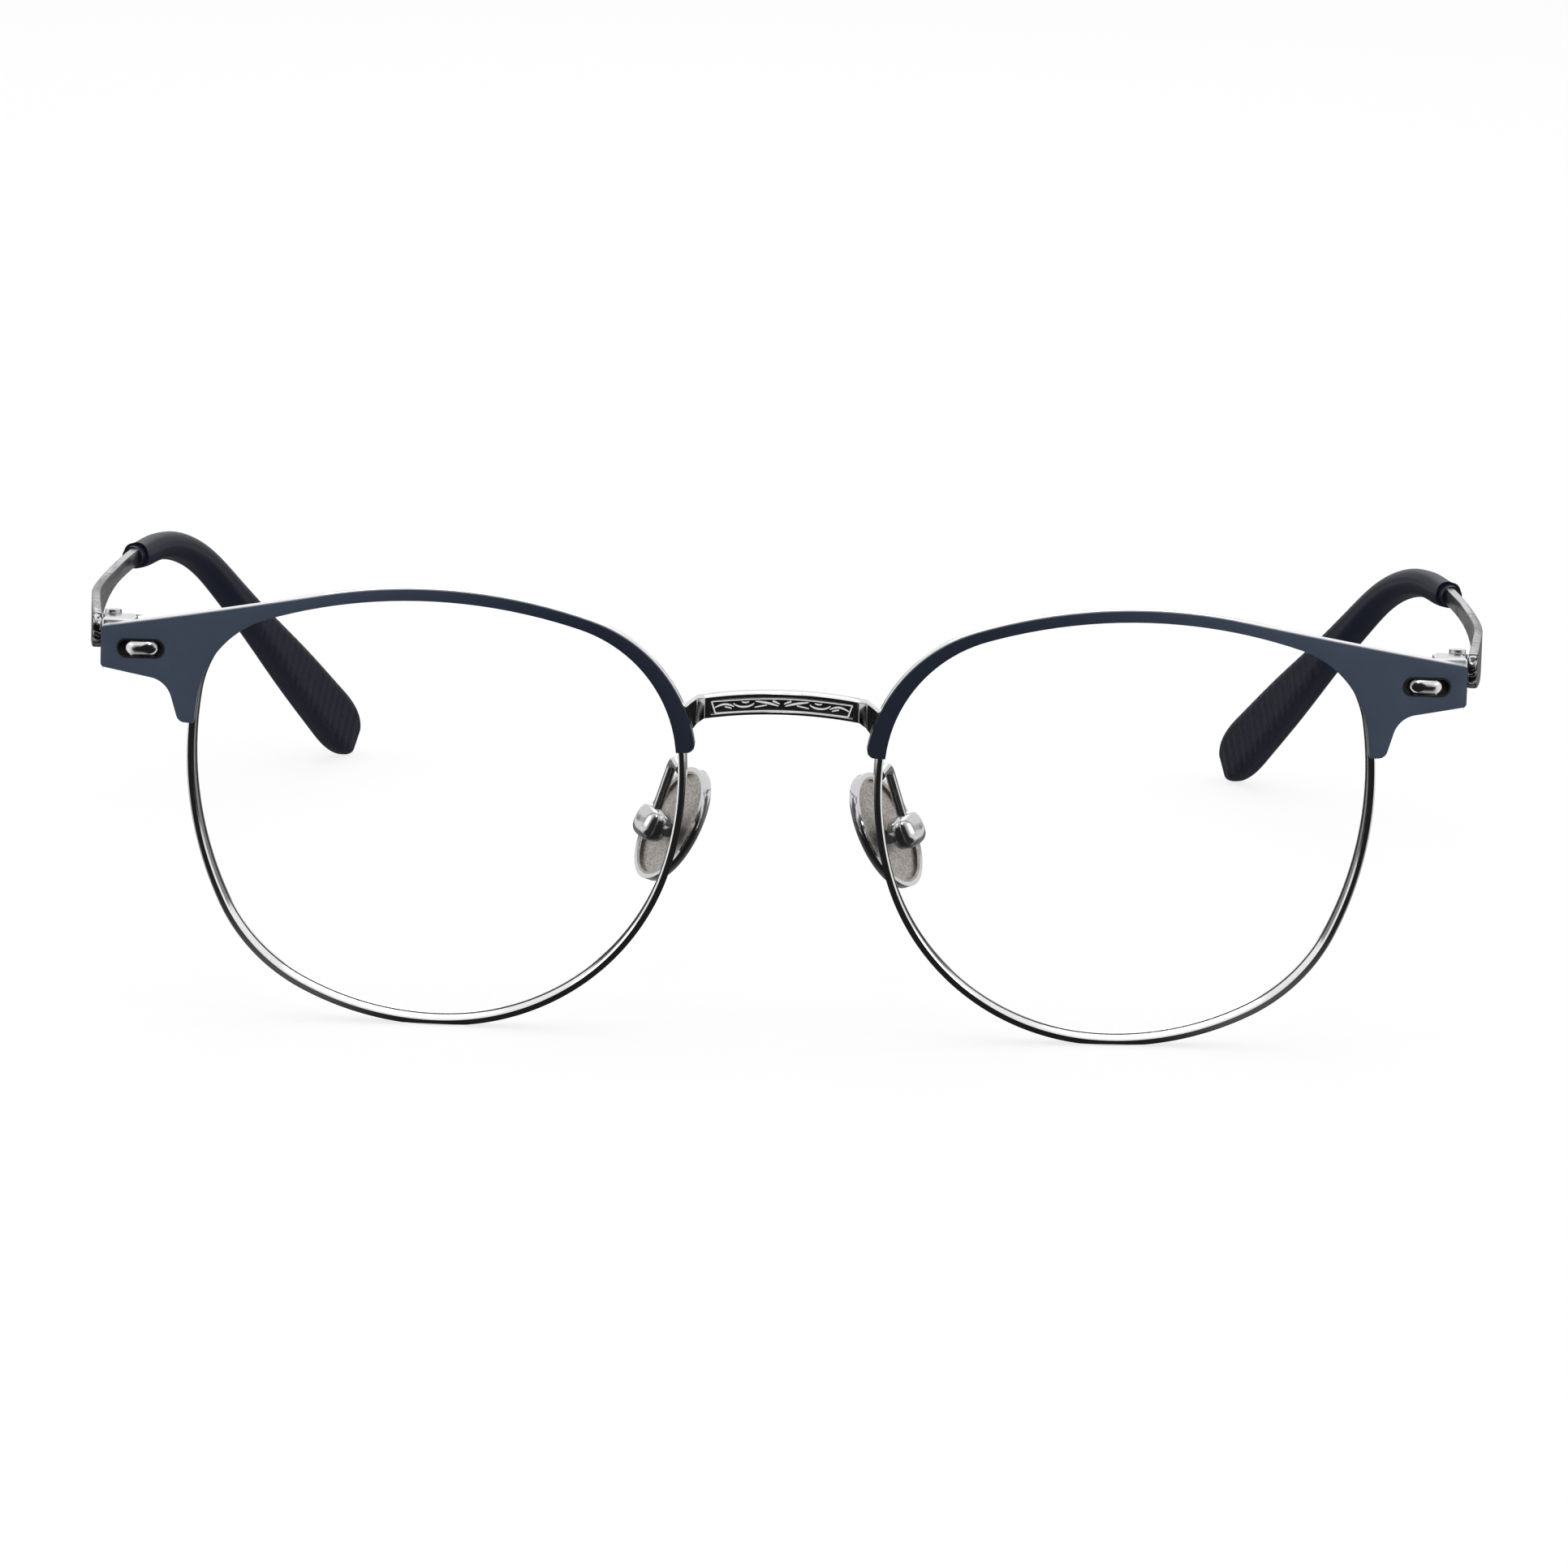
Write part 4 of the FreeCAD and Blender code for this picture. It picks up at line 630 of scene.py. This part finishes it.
class StageSettings(bpy.types.PropertyGroup):
    """Camera, floor, cards and light."""

    aim: FloatVectorProperty(
        name="Aim", description="Point in the middle of the picture", unit="LENGTH",
        default=(0.426 * MM, -67.225 * MM, 27.35 * MM))
    distance: FloatProperty(
        name="Distance", description="From the aim to the camera", unit="LENGTH", default=700 * MM)
    elevation: FloatProperty(
        name="Elevation", description="Height of the camera above the horizon", subtype="ANGLE",
        default=math.radians(12.339))
    turn: FloatProperty(
        name="Turn", description="How far the camera stands to the wearer's left", subtype="ANGLE",
        default=math.radians(0.407))
    roll: FloatProperty(
        name="Roll", description="Tilt of the picture", subtype="ANGLE", default=math.radians(1.645))
    focal: FloatProperty(name="Focal length", description="Millimetres on a 36 mm sensor", default=156.5)
    floor_size: FloatProperty(
        name="Floor", description="Half width of the floor", unit="LENGTH", default=3.0)
    floor_tone: FloatProperty(name="Floor tone", description="Tone of the floor", default=0.9)
    floor_glow: FloatProperty(
        name="Floor glow", description="Share of plain white in the floor: the rest shows the shadow",
        default=0.8)
    card_front: FloatProperty(name="Card ahead", description="Tone of the cards ahead", default=0.015)
    card_rear: FloatProperty(
        name="Card behind", description="Tone of the card behind the front", default=0.22)
    card_lift: FloatProperty(
        name="Card lift", description="Height of the floor card over the floor", unit="LENGTH",
        default=0.2 * MM)
    card_back: FloatProperty(
        name="Card distance", description="How far ahead the wall card stands", unit="LENGTH", default=1.5)
    card_shift: FloatProperty(
        name="Card shift", description="How far the wall card lies to the wearer's right", unit="LENGTH",
        default=0.3)
    card_dark: FloatProperty(
        name="Card dark", description="Radius of the wall card's dark part", unit="LENGTH", default=0.8)
    card_fade: FloatProperty(
        name="Card fade", description="Radius at which the wall card ends", unit="LENGTH", default=2.4)
    rear_from: FloatProperty(
        name="Behind from", description="Where the floor card turns to its rear tone", unit="LENGTH",
        default=-62 * MM)
    rear_soft: FloatProperty(
        name="Behind soft", description="Length over which the floor card's tone turns", unit="LENGTH",
        default=20 * MM)
    card_waist: FloatProperty(
        name="Card waist", description="Half width of the floor card beside the front", unit="LENGTH",
        default=116.667 * MM)
    card_slope: FloatProperty(
        name="Card slope", description="Run of the floor card's sides ahead and behind, per width",
        default=0.6)
    card_soft: FloatProperty(
        name="Card soft", description="Run of the floor card's soft edge", unit="LENGTH", default=50 * MM)
    room_facing: FloatVectorProperty(
        name="Room facing", description="Direction in which the room is dimmest", subtype="DIRECTION",
        default=(-0.2, -0.98, 0.0))
    room_span: FloatVectorProperty(
        name="Room span", description="Where the room starts and ends to dim ahead", size=2,
        default=(0.35, 0.9))
    room_dark: FloatProperty(name="Room ahead", description="Light of the room ahead", default=0.02)
    room_low: FloatProperty(
        name="Room below", description="Light of the room at and below the horizon", default=0.3)
    room_height: FloatProperty(
        name="Room height", description="Height at which the room has its full light", default=0.45)


class GLASSES_OT_eyewires(bpy.types.Operator):
    """Finish the eyewires and the lenses"""

    bl_idname = "glasses.eyewires"
    bl_label = "Eyewires and lenses"

    def execute(self, context):
        finish = context.scene.glasses_finish
        metal = polished_metal("eyewire metal", finish.rim_colour, roughness=0.07)
        eye, place = context.scene.glasses_eyewire, context.scene.glasses_bridge
        for side, sign in SIDES.items():
            mesh = self.sweep(f"eyewire_{side}", sign, eye, place)
            add_piece(f"eyewire_{side}", mesh, metal, f"rim_{side}")
        dress(clear_lens("lens", finish), nodes_of("lens"))
        return {"FINISHED"}

    def lens_arcs(self, eye):
        """The eight tangent arcs round a lens: centre, radius, start and stop of each."""
        half_width, half_height = eye.lens_width / 2, eye.lens_height / 2
        temporal, top, nasal, bottom = eye.sides
        centres = [Vector((half_width - temporal, eye.shifts[0])), Vector((eye.shifts[1], half_height - top)),
                   Vector((nasal - half_width, eye.shifts[2])), Vector((eye.shifts[3], bottom - half_height))]
        arcs, joints = [], []
        for place, towards in enumerate(((1, 1), (-1, 1), (-1, -1), (1, -1))):
            after = (place + 1) % 4
            radius = eye.corners[place]
            centre = circles_meet(centres[place], eye.sides[place] - radius, centres[after],
                                  eye.sides[after] - radius, Vector(towards))
            start, stop = [math.atan2(*(centre - side).yx) for side in (centres[place], centres[after])]
            arcs.append((centre, radius, start, stop))
            joints.append((start, stop))
        ring = []
        for place in range(4):
            ring.append((centres[place], eye.sides[place], joints[place - 1][1], joints[place][0]))
            ring.append(arcs[place])
        return ring

    def sweep(self, name, sign, eye, place):
        """A polished wire with a flat face between two bright chamfers, swept round the domed lens."""
        cut, front, wide = eye.chamfer, eye.depth / 2, eye.width
        section = [(0, front - cut), (cut, front), (wide - cut, front), (wide, front - cut),
                   (wide, cut / 2 - front), (wide - cut / 2, -front), (cut / 2, -front),
                   (-eye.lip, cut / 2 - front), (-eye.lip, -eye.lip_from * front), (0, -eye.lip_from * front)]
        stance = leaned_frame(place)
        beside = Matrix.Translation(((eye.lens_gap + eye.lens_width) / 2, 0, 0))
        wrap = Matrix.Rotation(eye.wrap, 4, "Z") @ beside
        middle = math.sqrt(eye.base_curve ** 2 - (eye.lens_height / 2) ** 2)
        rows = []
        for centre, radius, start, stop in self.lens_arcs(eye):
            swing = (stop - start) % math.tau
            count = math.ceil(swing / eye.step)
            for turn in (start + swing * step / count for step in range(count)):
                row = []
                for out, ahead in section:
                    x, z = centre + Vector((math.cos(turn), math.sin(turn))) * (radius + out)
                    dome = math.sqrt((eye.base_curve + ahead) ** 2 - x * x - z * z)
                    spot = wrap @ Vector((x, middle - dome, z))
                    row.append(stance @ Vector((sign * spot.x, spot.y, spot.z)))
                rows.append(row)
        return grid_mesh(name, rows, sharp=math.radians(25), closed=True)


class GLASSES_OT_brow(bpy.types.Operator):
    """Finish the brow plates, their metal base, slot and stud"""

    bl_idname = "glasses.brow"
    bl_label = "Brow"

    def execute(self, context):
        finish = context.scene.glasses_finish
        dress(navy_lacquer("navy lacquer", finish), nodes_of("brow_plate"))
        soften(nodes_of("brow_plate"), EDGES["brow_plate"], clamp=True)
        slots = [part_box(f"slot_liner_{side}") for side in SIDES]
        spots = [(Vector(low) + Vector(high)) / 2 for low, high in slots]
        # The slots' floors get painted shade in the engraving colour.
        base_metal = slotted_metal("brow metal", finish.brow_colour, finish.engraving_and_slot_shade_colour, roughness=0.08,
                                   spots=spots, reach=2.7 * MM)
        dress(base_metal, nodes_of("brow_base"))
        stud_metal = polished_metal("stud metal", finish.brow_colour, roughness=0.1)
        dress(stud_metal, nodes_of("slot_liner"))
        for side, spot in zip(SIDES, spots):
            self.set_stud(side, spot, stud_metal, context.scene.glasses_stud)
        soften(nodes_of("brow_base"), EDGES["brow_base"])
        return {"FINISHED"}

    def set_stud(self, side, spot, metal, stud):
        """A polished oval with a domed crown, seated square to the brow in its slot."""
        sign = SIDES[side]
        normal = Vector((sign * stud.lean[0], stud.lean[1], stud.lean[2])).normalized()
        along = Vector((sign * math.cos(stud.tilt), 0, -math.sin(stud.tilt)))
        along = (along - normal * along.dot(normal)).normalized()
        up = normal.cross(along)
        foot = spot - normal * stud.sink
        rows = []
        for ring in range(stud.rings):
            rise = ring / stud.rings * math.pi / 2
            shrink = math.cos(rise) ** stud.crown
            row = []
            for step in range(stud.steps):
                turn = math.tau * step / stud.steps
                straight = math.copysign((stud.length - stud.width) / 2, math.cos(turn))
                x = straight * shrink + math.cos(turn) * stud.width / 2 * shrink
                z = math.sin(turn) * stud.width / 2 * shrink
                row.append(foot + along * x + up * z + normal * math.sin(rise) * stud.height)
            rows.append(row)
        mesh = grid_mesh(f"stud_{side}", rows, sharp=math.radians(50), closed=False)
        add_piece(f"stud_{side}", mesh, metal, f"brow_stud_{side}")


class GLASSES_OT_bridge(bpy.types.Operator):
    """Finish the bridge and lay the scrolled ornament in its panel"""

    bl_idname = "glasses.bridge"
    bl_label = "Bridge"

    def execute(self, context):
        finish = context.scene.glasses_finish
        place = context.scene.glasses_bridge
        dress(panelled_metal("bridge metal", finish, place), [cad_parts["bridge"]])
        soften([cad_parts["bridge"]], EDGES["bridge"])
        metal = polished_metal("bridge relief metal", finish.relief_colour, roughness=0.32, metallic=0.1)
        stance = leaned_frame(place)

        def on_panel(across, up, lift=0.0):
            """A point over the panel: shares of its half length and half height, and its lift."""
            x = across * place.panel_half
            fall = place.arch * across ** 2
            depth = place.plan_radius - math.sqrt(place.plan_radius ** 2 - x ** 2)
            height = place.panel_middle - fall + up * place.panel_rise
            return stance @ Vector((x, place.floor + depth - lift, height))

        strokes = [
            ((0.13, 0.63, 1.0), (0.08, 0.45, 1.2), (0.03, 0.11, 0.5)),
            ((0.37, 0.62, 0.6), (0.25, 0.42, 1.3), (0.13, 0.08, 1.2), (0.05, -0.22, 0.6)),
            ((0.38, -0.42, 0.5), (0.29, -0.22, 1.0), (0.21, -0.08, 0.6)),
            ((0.68, 0.42, 0.5), (0.63, -0.12, 0.9), (0.52, -0.34, 1.0), (0.42, -0.10, 0.9),
             (0.39, 0.28, 0.5)),
            ((0.56, 0.58, 0.6), (0.51, 0.34, 1.1), (0.46, 0.58, 0.6)),
            ((0.95, -0.12, 0.5), (0.88, 0.30, 1.0), (0.76, 0.46, 1.2), (0.67, -0.14, 0.6)),
            ((0.80, -0.08, 0.6), (0.75, -0.16, 1.1), (0.70, -0.46, 0.5)),
        ]
        runs = [[(on_panel(side * across, up * place.scroll_height - place.scroll_drop), share)
                 for across, up, share in line] for side in SIDES.values() for line in strokes]
        stroke("bridge_scroll", runs, place.bead, metal)
        top, low, high, deep = place.border_top, place.border_low, place.border_up, -place.border_down
        spread = (-1, -0.5, 0, 0.5, 1)
        over = [(top * share, high) for share in spread]
        under = [(low * share, deep) for share in spread]
        ends = [[(sign * top, high), (sign * (top + low) / 2, 0), (sign * low, deep)]
                for sign in SIDES.values()]
        edges = [[(on_panel(across, up, place.bead), place.border_bead) for across, up in edge]
                 for edge in (over, under, *ends)]
        stroke("bridge_border", edges, place.bead, metal)
        return {"FINISHED"}


class GLASSES_OT_pads(bpy.types.Operator):
    """Finish the nose pads, their knobs and arms, the closing blocks, hinges and screws"""

    bl_idname = "glasses.pads"
    bl_label = "Nose pads and fittings"

    def execute(self, context):
        finish = context.scene.glasses_finish
        place = context.scene.glasses_pad
        metal = polished_metal("fitting metal", finish.fitting_colour, roughness=0.1)
        for side, sign in SIDES.items():
            spot, facing, along = [Vector((sign * x, y, z))
                                   for x, y, z in (place.spot, place.facing, place.along)]
            axes = (spot, facing, along.cross(facing), along)
            pad_metal = blasted_metal(f"pad metal {side}", finish, place, axes)
            dress(pad_metal, [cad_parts[f"nose_pad_{side}"]])
            mesh = self.knob(f"pad_knob_{side}", place, axes)
            add_piece(f"pad_knob_{side}", mesh, metal, f"pad_box_{side}")
        soften(nodes_of("nose_pad"), EDGES["nose_pad"], clamp=True)
        fittings = ("pad_arm", "lock_upper", "lock_lower", "end_piece", "front_hinge", "temple_hinge")
        dress(metal, nodes_of(*fittings))
        soften(nodes_of("end_piece"), EDGES["end_piece"])
        screw_metal = polished_metal("screw metal", finish.fitting_colour, roughness=0.16, grain=0.1)
        dress(screw_metal, nodes_of("pad_screw", "lock_screw", "hinge_screw"))
        return {"FINISHED"}

    def knob(self, name, place, axes):
        """A plump rounded block, slotted on the pad's side for the pad's boss."""
        spot, facing, across, along = axes
        middle = spot + facing * place.knob_stand - along * place.knob_drop
        rows = []
        for ring in range(1, place.rings):
            lean = math.pi * ring / place.rings
            row = []
            for step in range(place.steps):
                turn = math.tau * step / place.steps
                way = (math.cos(lean), math.sin(lean) * math.cos(turn), math.sin(lean) * math.sin(turn))
                swell = sum(abs(part) ** place.knob_square for part in way) ** (-1 / place.knob_square)
                deep, wide, tall = [part * swell * half for part, half in zip(way, place.knob_half)]
                row.append(middle + facing * deep + across * wide + along * tall)
            rows.append(row)
        solid = grid_mesh(name + "_block", rows, sharp=math.radians(40), closed=False)
        block = bpy.data.objects.new(name, solid)
        far = 2 * place.knob_stand
        slot = [[middle + facing * deep + across * wide + along * tall
                 for deep, wide in ((-far, -place.slot_half), (place.slot_end, -place.slot_half),
                                    (place.slot_end, place.slot_half), (-far, place.slot_half))]
                for tall in (-far, far)]
        hollow = grid_mesh("slot cutter", slot, sharp=math.radians(40), closed=False)
        cutter = bpy.data.objects.new("slot cutter", hollow)
        for thing in (block, cutter):
            bpy.context.scene.collection.objects.link(thing)
        cut = block.modifiers.new("slot", "BOOLEAN")
        cut.object = cutter
        cut.operation = "DIFFERENCE"
        cut.solver = "EXACT"
        shaped = block.evaluated_get(bpy.context.evaluated_depsgraph_get())
        mesh = bpy.data.meshes.new_from_object(shaped)
        mesh.materials.clear()
        for thing in (block, cutter):
            bpy.data.objects.remove(thing)
        return mesh


class GLASSES_OT_temples(bpy.types.Operator):
    """Finish the engraved temples and their moulded tips"""

    bl_idname = "glasses.temples"
    bl_label = "Temples and tips"

    def execute(self, context):
        finish = context.scene.glasses_finish
        engraved = engraved_metal("temple metal", finish.temple_colour, finish.engraving_and_slot_shade_colour, roughness=0.16,
                                  along=(0, 1, 0), upto=-6 * MM)
        dress(engraved, nodes_of("temple"))
        soften(nodes_of("temple"), EDGES["temple"])
        for side in SIDES:
            dress(tip_moulding(f"tip {side}", side, finish), [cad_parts[f"temple_tip_{side}"]])
        return {"FINISHED"}


class GLASSES_OT_stage(bpy.types.Operator):
    """Set up the camera, the floor, the studio cards and the light"""

    bl_idname = "glasses.stage"
    bl_label = "Stage"

    def execute(self, context):
        stage = context.scene.glasses_stage
        scene = context.scene
        scene.view_settings.view_transform = "Standard"
        self.place_camera(scene, stage)
        self.lay_floor(scene, stage)
        self.hang_cards(scene, stage)
        self.light(scene)
        self.fill_world(scene, stage)
        return {"FINISHED"}

    def place_camera(self, scene, stage):
        level = math.cos(stage.elevation)
        away = Vector((math.sin(stage.turn) * level, -math.cos(stage.turn) * level,
                       math.sin(stage.elevation)))
        data = bpy.data.cameras.new("camera")
        data.sensor_width = SENSOR_WIDTH
        data.lens = stage.focal
        data.clip_start = 0.01
        camera = bpy.data.objects.new("camera", data)
        spot = Vector(stage.aim) + away * stage.distance
        turn = (-away).to_track_quat("-Z", "Y").to_matrix().to_4x4()
        camera.matrix_world = Matrix.Translation(spot) @ turn @ Matrix.Rotation(stage.roll, 4, "Z")
        scene.collection.objects.link(camera)
        scene.camera = camera

    def add_board(self, scene, name, corners, finish):
        """A flat board of the stage."""
        mesh = bpy.data.meshes.new(name)
        mesh.from_pydata(corners, [], [tuple(range(len(corners)))])
        mesh.materials.append(finish.material)
        board = bpy.data.objects.new(name, mesh)
        scene.collection.objects.link(board)
        return board

    def lay_floor(self, scene, stage):
        """A pale floor, white to the camera and in reflections, that keeps a faint shadow."""
        half = stage.floor_size
        finish = Finish("floor")
        finish.set(Base_Color=[stage.floor_tone] * 3, Roughness=0.9)
        white = finish.start.node("ShaderNodeEmission", {"Color": WHITE, "Strength": 1.0})
        plain = Value(finish.tree, finish.surface.outputs[0])
        glow = background_rays(finish.start) * stage.floor_glow
        seen = finish.start.node("ShaderNodeMixShader", {0: glow, 1: plain, 2: white})
        feed(finish.tree, finish.tree.nodes["Material Output"].inputs["Surface"], seen)
        corners = [(-half, -half, 0), (half, -half, 0), (half, half, 0), (-half, half, 0)]
        self.add_board(scene, "floor", corners, finish)

    def hang_cards(self, scene, stage):
        """Dark cards that show only in reflections: one round the glasses, one behind the camera."""
        for name, shape in (("floor card", self.floor_card), ("wall card", self.wall_card)):
            finish = Finish(name)
            tone, corners = shape(stage, finish)
            finish.set(Base_Color=BLACK, Specular_IOR_Level=0.0, Emission_Color=tone, Emission_Strength=1.0)
            board = self.add_board(scene, name, corners, finish)
            board.visible_camera = board.visible_diffuse = board.visible_transmission = False
            board.visible_shadow = board.visible_volume_scatter = False

    def floor_card(self, stage, finish):
        """Tone and corners of the card on the floor: narrow at the front, wider ahead and behind."""
        half, middle, waist = stage.floor_size, stage.aim[1], stage.card_waist
        edge = -waist * stage.card_slope
        x, y = finish.axis((1, 0, 0)), finish.axis((0, 1, 0))
        inside = (y - middle).math("ABSOLUTE") - x.math("ABSOLUTE") * stage.card_slope
        behind = y.step(stage.rear_from, stage.rear_from + stage.rear_soft)
        dark = behind.mix([stage.card_front] * 3, [stage.card_rear] * 3)
        tone = inside.step(edge, edge + stage.card_soft, 1.0, 0.0).mix(dark, WHITE)
        turn = half * stage.card_slope + edge
        outline = ((-waist, 0), (-half, -turn), (-half, -half), (half, -half), (half, -turn),
                   (waist, 0), (half, turn), (half, half), (-half, half), (-half, turn))
        return tone, [(across, middle + deep, stage.card_lift) for across, deep in outline]

    def wall_card(self, stage, finish):
        """Tone and corners of the card behind the camera: a half disc that is white at its rim."""
        radius = stage.card_fade
        x, z = finish.axis((1, 0, 0)) + stage.card_shift, finish.axis((0, 0, 1))
        fade = (x * x + z * z).math("SQRT").step(stage.card_dark, radius)
        tone = fade.mix([stage.card_front] * 3, WHITE)
        leans = [math.pi * step / ARCH_STEPS for step in range(ARCH_STEPS + 1)]
        return tone, [(radius * math.cos(lean) - stage.card_shift, -stage.card_back, radius * math.sin(lean))
                      for lean in leans]

    def light(self, scene):
        for name, (spot, target, size, power) in LAMPS.items():
            data = bpy.data.lights.new(name, "AREA")
            data.size = size
            data.energy = power
            lamp = bpy.data.objects.new(name, data)
            lamp.location = spot
            lamp.rotation_euler = (Vector(target) - Vector(spot)).to_track_quat("-Z", "Y").to_euler()
            scene.collection.objects.link(lamp)

    def fill_world(self, scene, stage):
        """White to the camera, in reflections and through glass; for light, a room dim ahead and low down."""
        world = bpy.data.worlds.new("studio")
        scene.world = world
        world.use_nodes = True
        tree = world.node_tree
        tree.nodes.clear()
        start = Value(tree, None)
        way = start.node("ShaderNodeTexCoord", output="Generated")
        height = way.along((0, 0, 1)).step(0.0, stage.room_height, stage.room_low, 1.0)
        room = height * way.along(stage.room_facing).step(*stage.room_span, 1.0, stage.room_dark)
        dark = start.node("ShaderNodeBackground", {"Color": BLACK, "Strength": 1.0})
        white = start.node("ShaderNodeBackground", {"Color": WHITE, "Strength": 1.0})
        share = background_rays(start).math("MAXIMUM", room)
        glow = start.node("ShaderNodeMixShader", {0: share, 1: dark, 2: white})
        ends = tree.nodes.new("ShaderNodeOutputWorld")
        tree.links.new(glow.socket, ends.inputs["Surface"])


class GLASSES_PT_panel(bpy.types.Panel):
    """Settings and steps of the glasses"""

    bl_label = "Browline glasses"
    bl_idname = "GLASSES_PT_panel"
    bl_space_type = "VIEW_3D"
    bl_region_type = "UI"
    bl_category = "Glasses"

    def draw(self, context):
        for group in SETTINGS:
            settings = getattr(context.scene, group)
            column = self.layout.column()
            for name in settings.bl_rna.properties.keys():
                if name not in ("rna_type", "name"):
                    column.prop(settings, name)
        for step in STEPS:
            self.layout.operator(step.bl_idname)


STEPS = (GLASSES_OT_eyewires, GLASSES_OT_brow, GLASSES_OT_bridge, GLASSES_OT_pads, GLASSES_OT_temples,
         GLASSES_OT_stage)
SETTINGS = {
    "glasses_finish": FinishSettings,
    "glasses_eyewire": EyewireSettings,
    "glasses_stud": StudSettings,
    "glasses_bridge": BridgeSettings,
    "glasses_pad": PadSettings,
    "glasses_stage": StageSettings,
}


def register():
    for settings in SETTINGS.values():
        bpy.utils.register_class(settings)
    for name, settings in SETTINGS.items():
        setattr(bpy.types.Scene, name, PointerProperty(type=settings))
    for step in (*STEPS, GLASSES_PT_panel):
        bpy.utils.register_class(step)


def unregister():
    for step in (GLASSES_PT_panel, *reversed(STEPS)):
        bpy.utils.unregister_class(step)
    for name, settings in SETTINGS.items():
        delattr(bpy.types.Scene, name)
        bpy.utils.unregister_class(settings)


def main():
    register()
    bpy.ops.glasses.eyewires()
    bpy.ops.glasses.brow()
    bpy.ops.glasses.bridge()
    bpy.ops.glasses.pads()
    bpy.ops.glasses.temples()
    bpy.ops.glasses.stage()


if __name__ == "__main__":
    main()
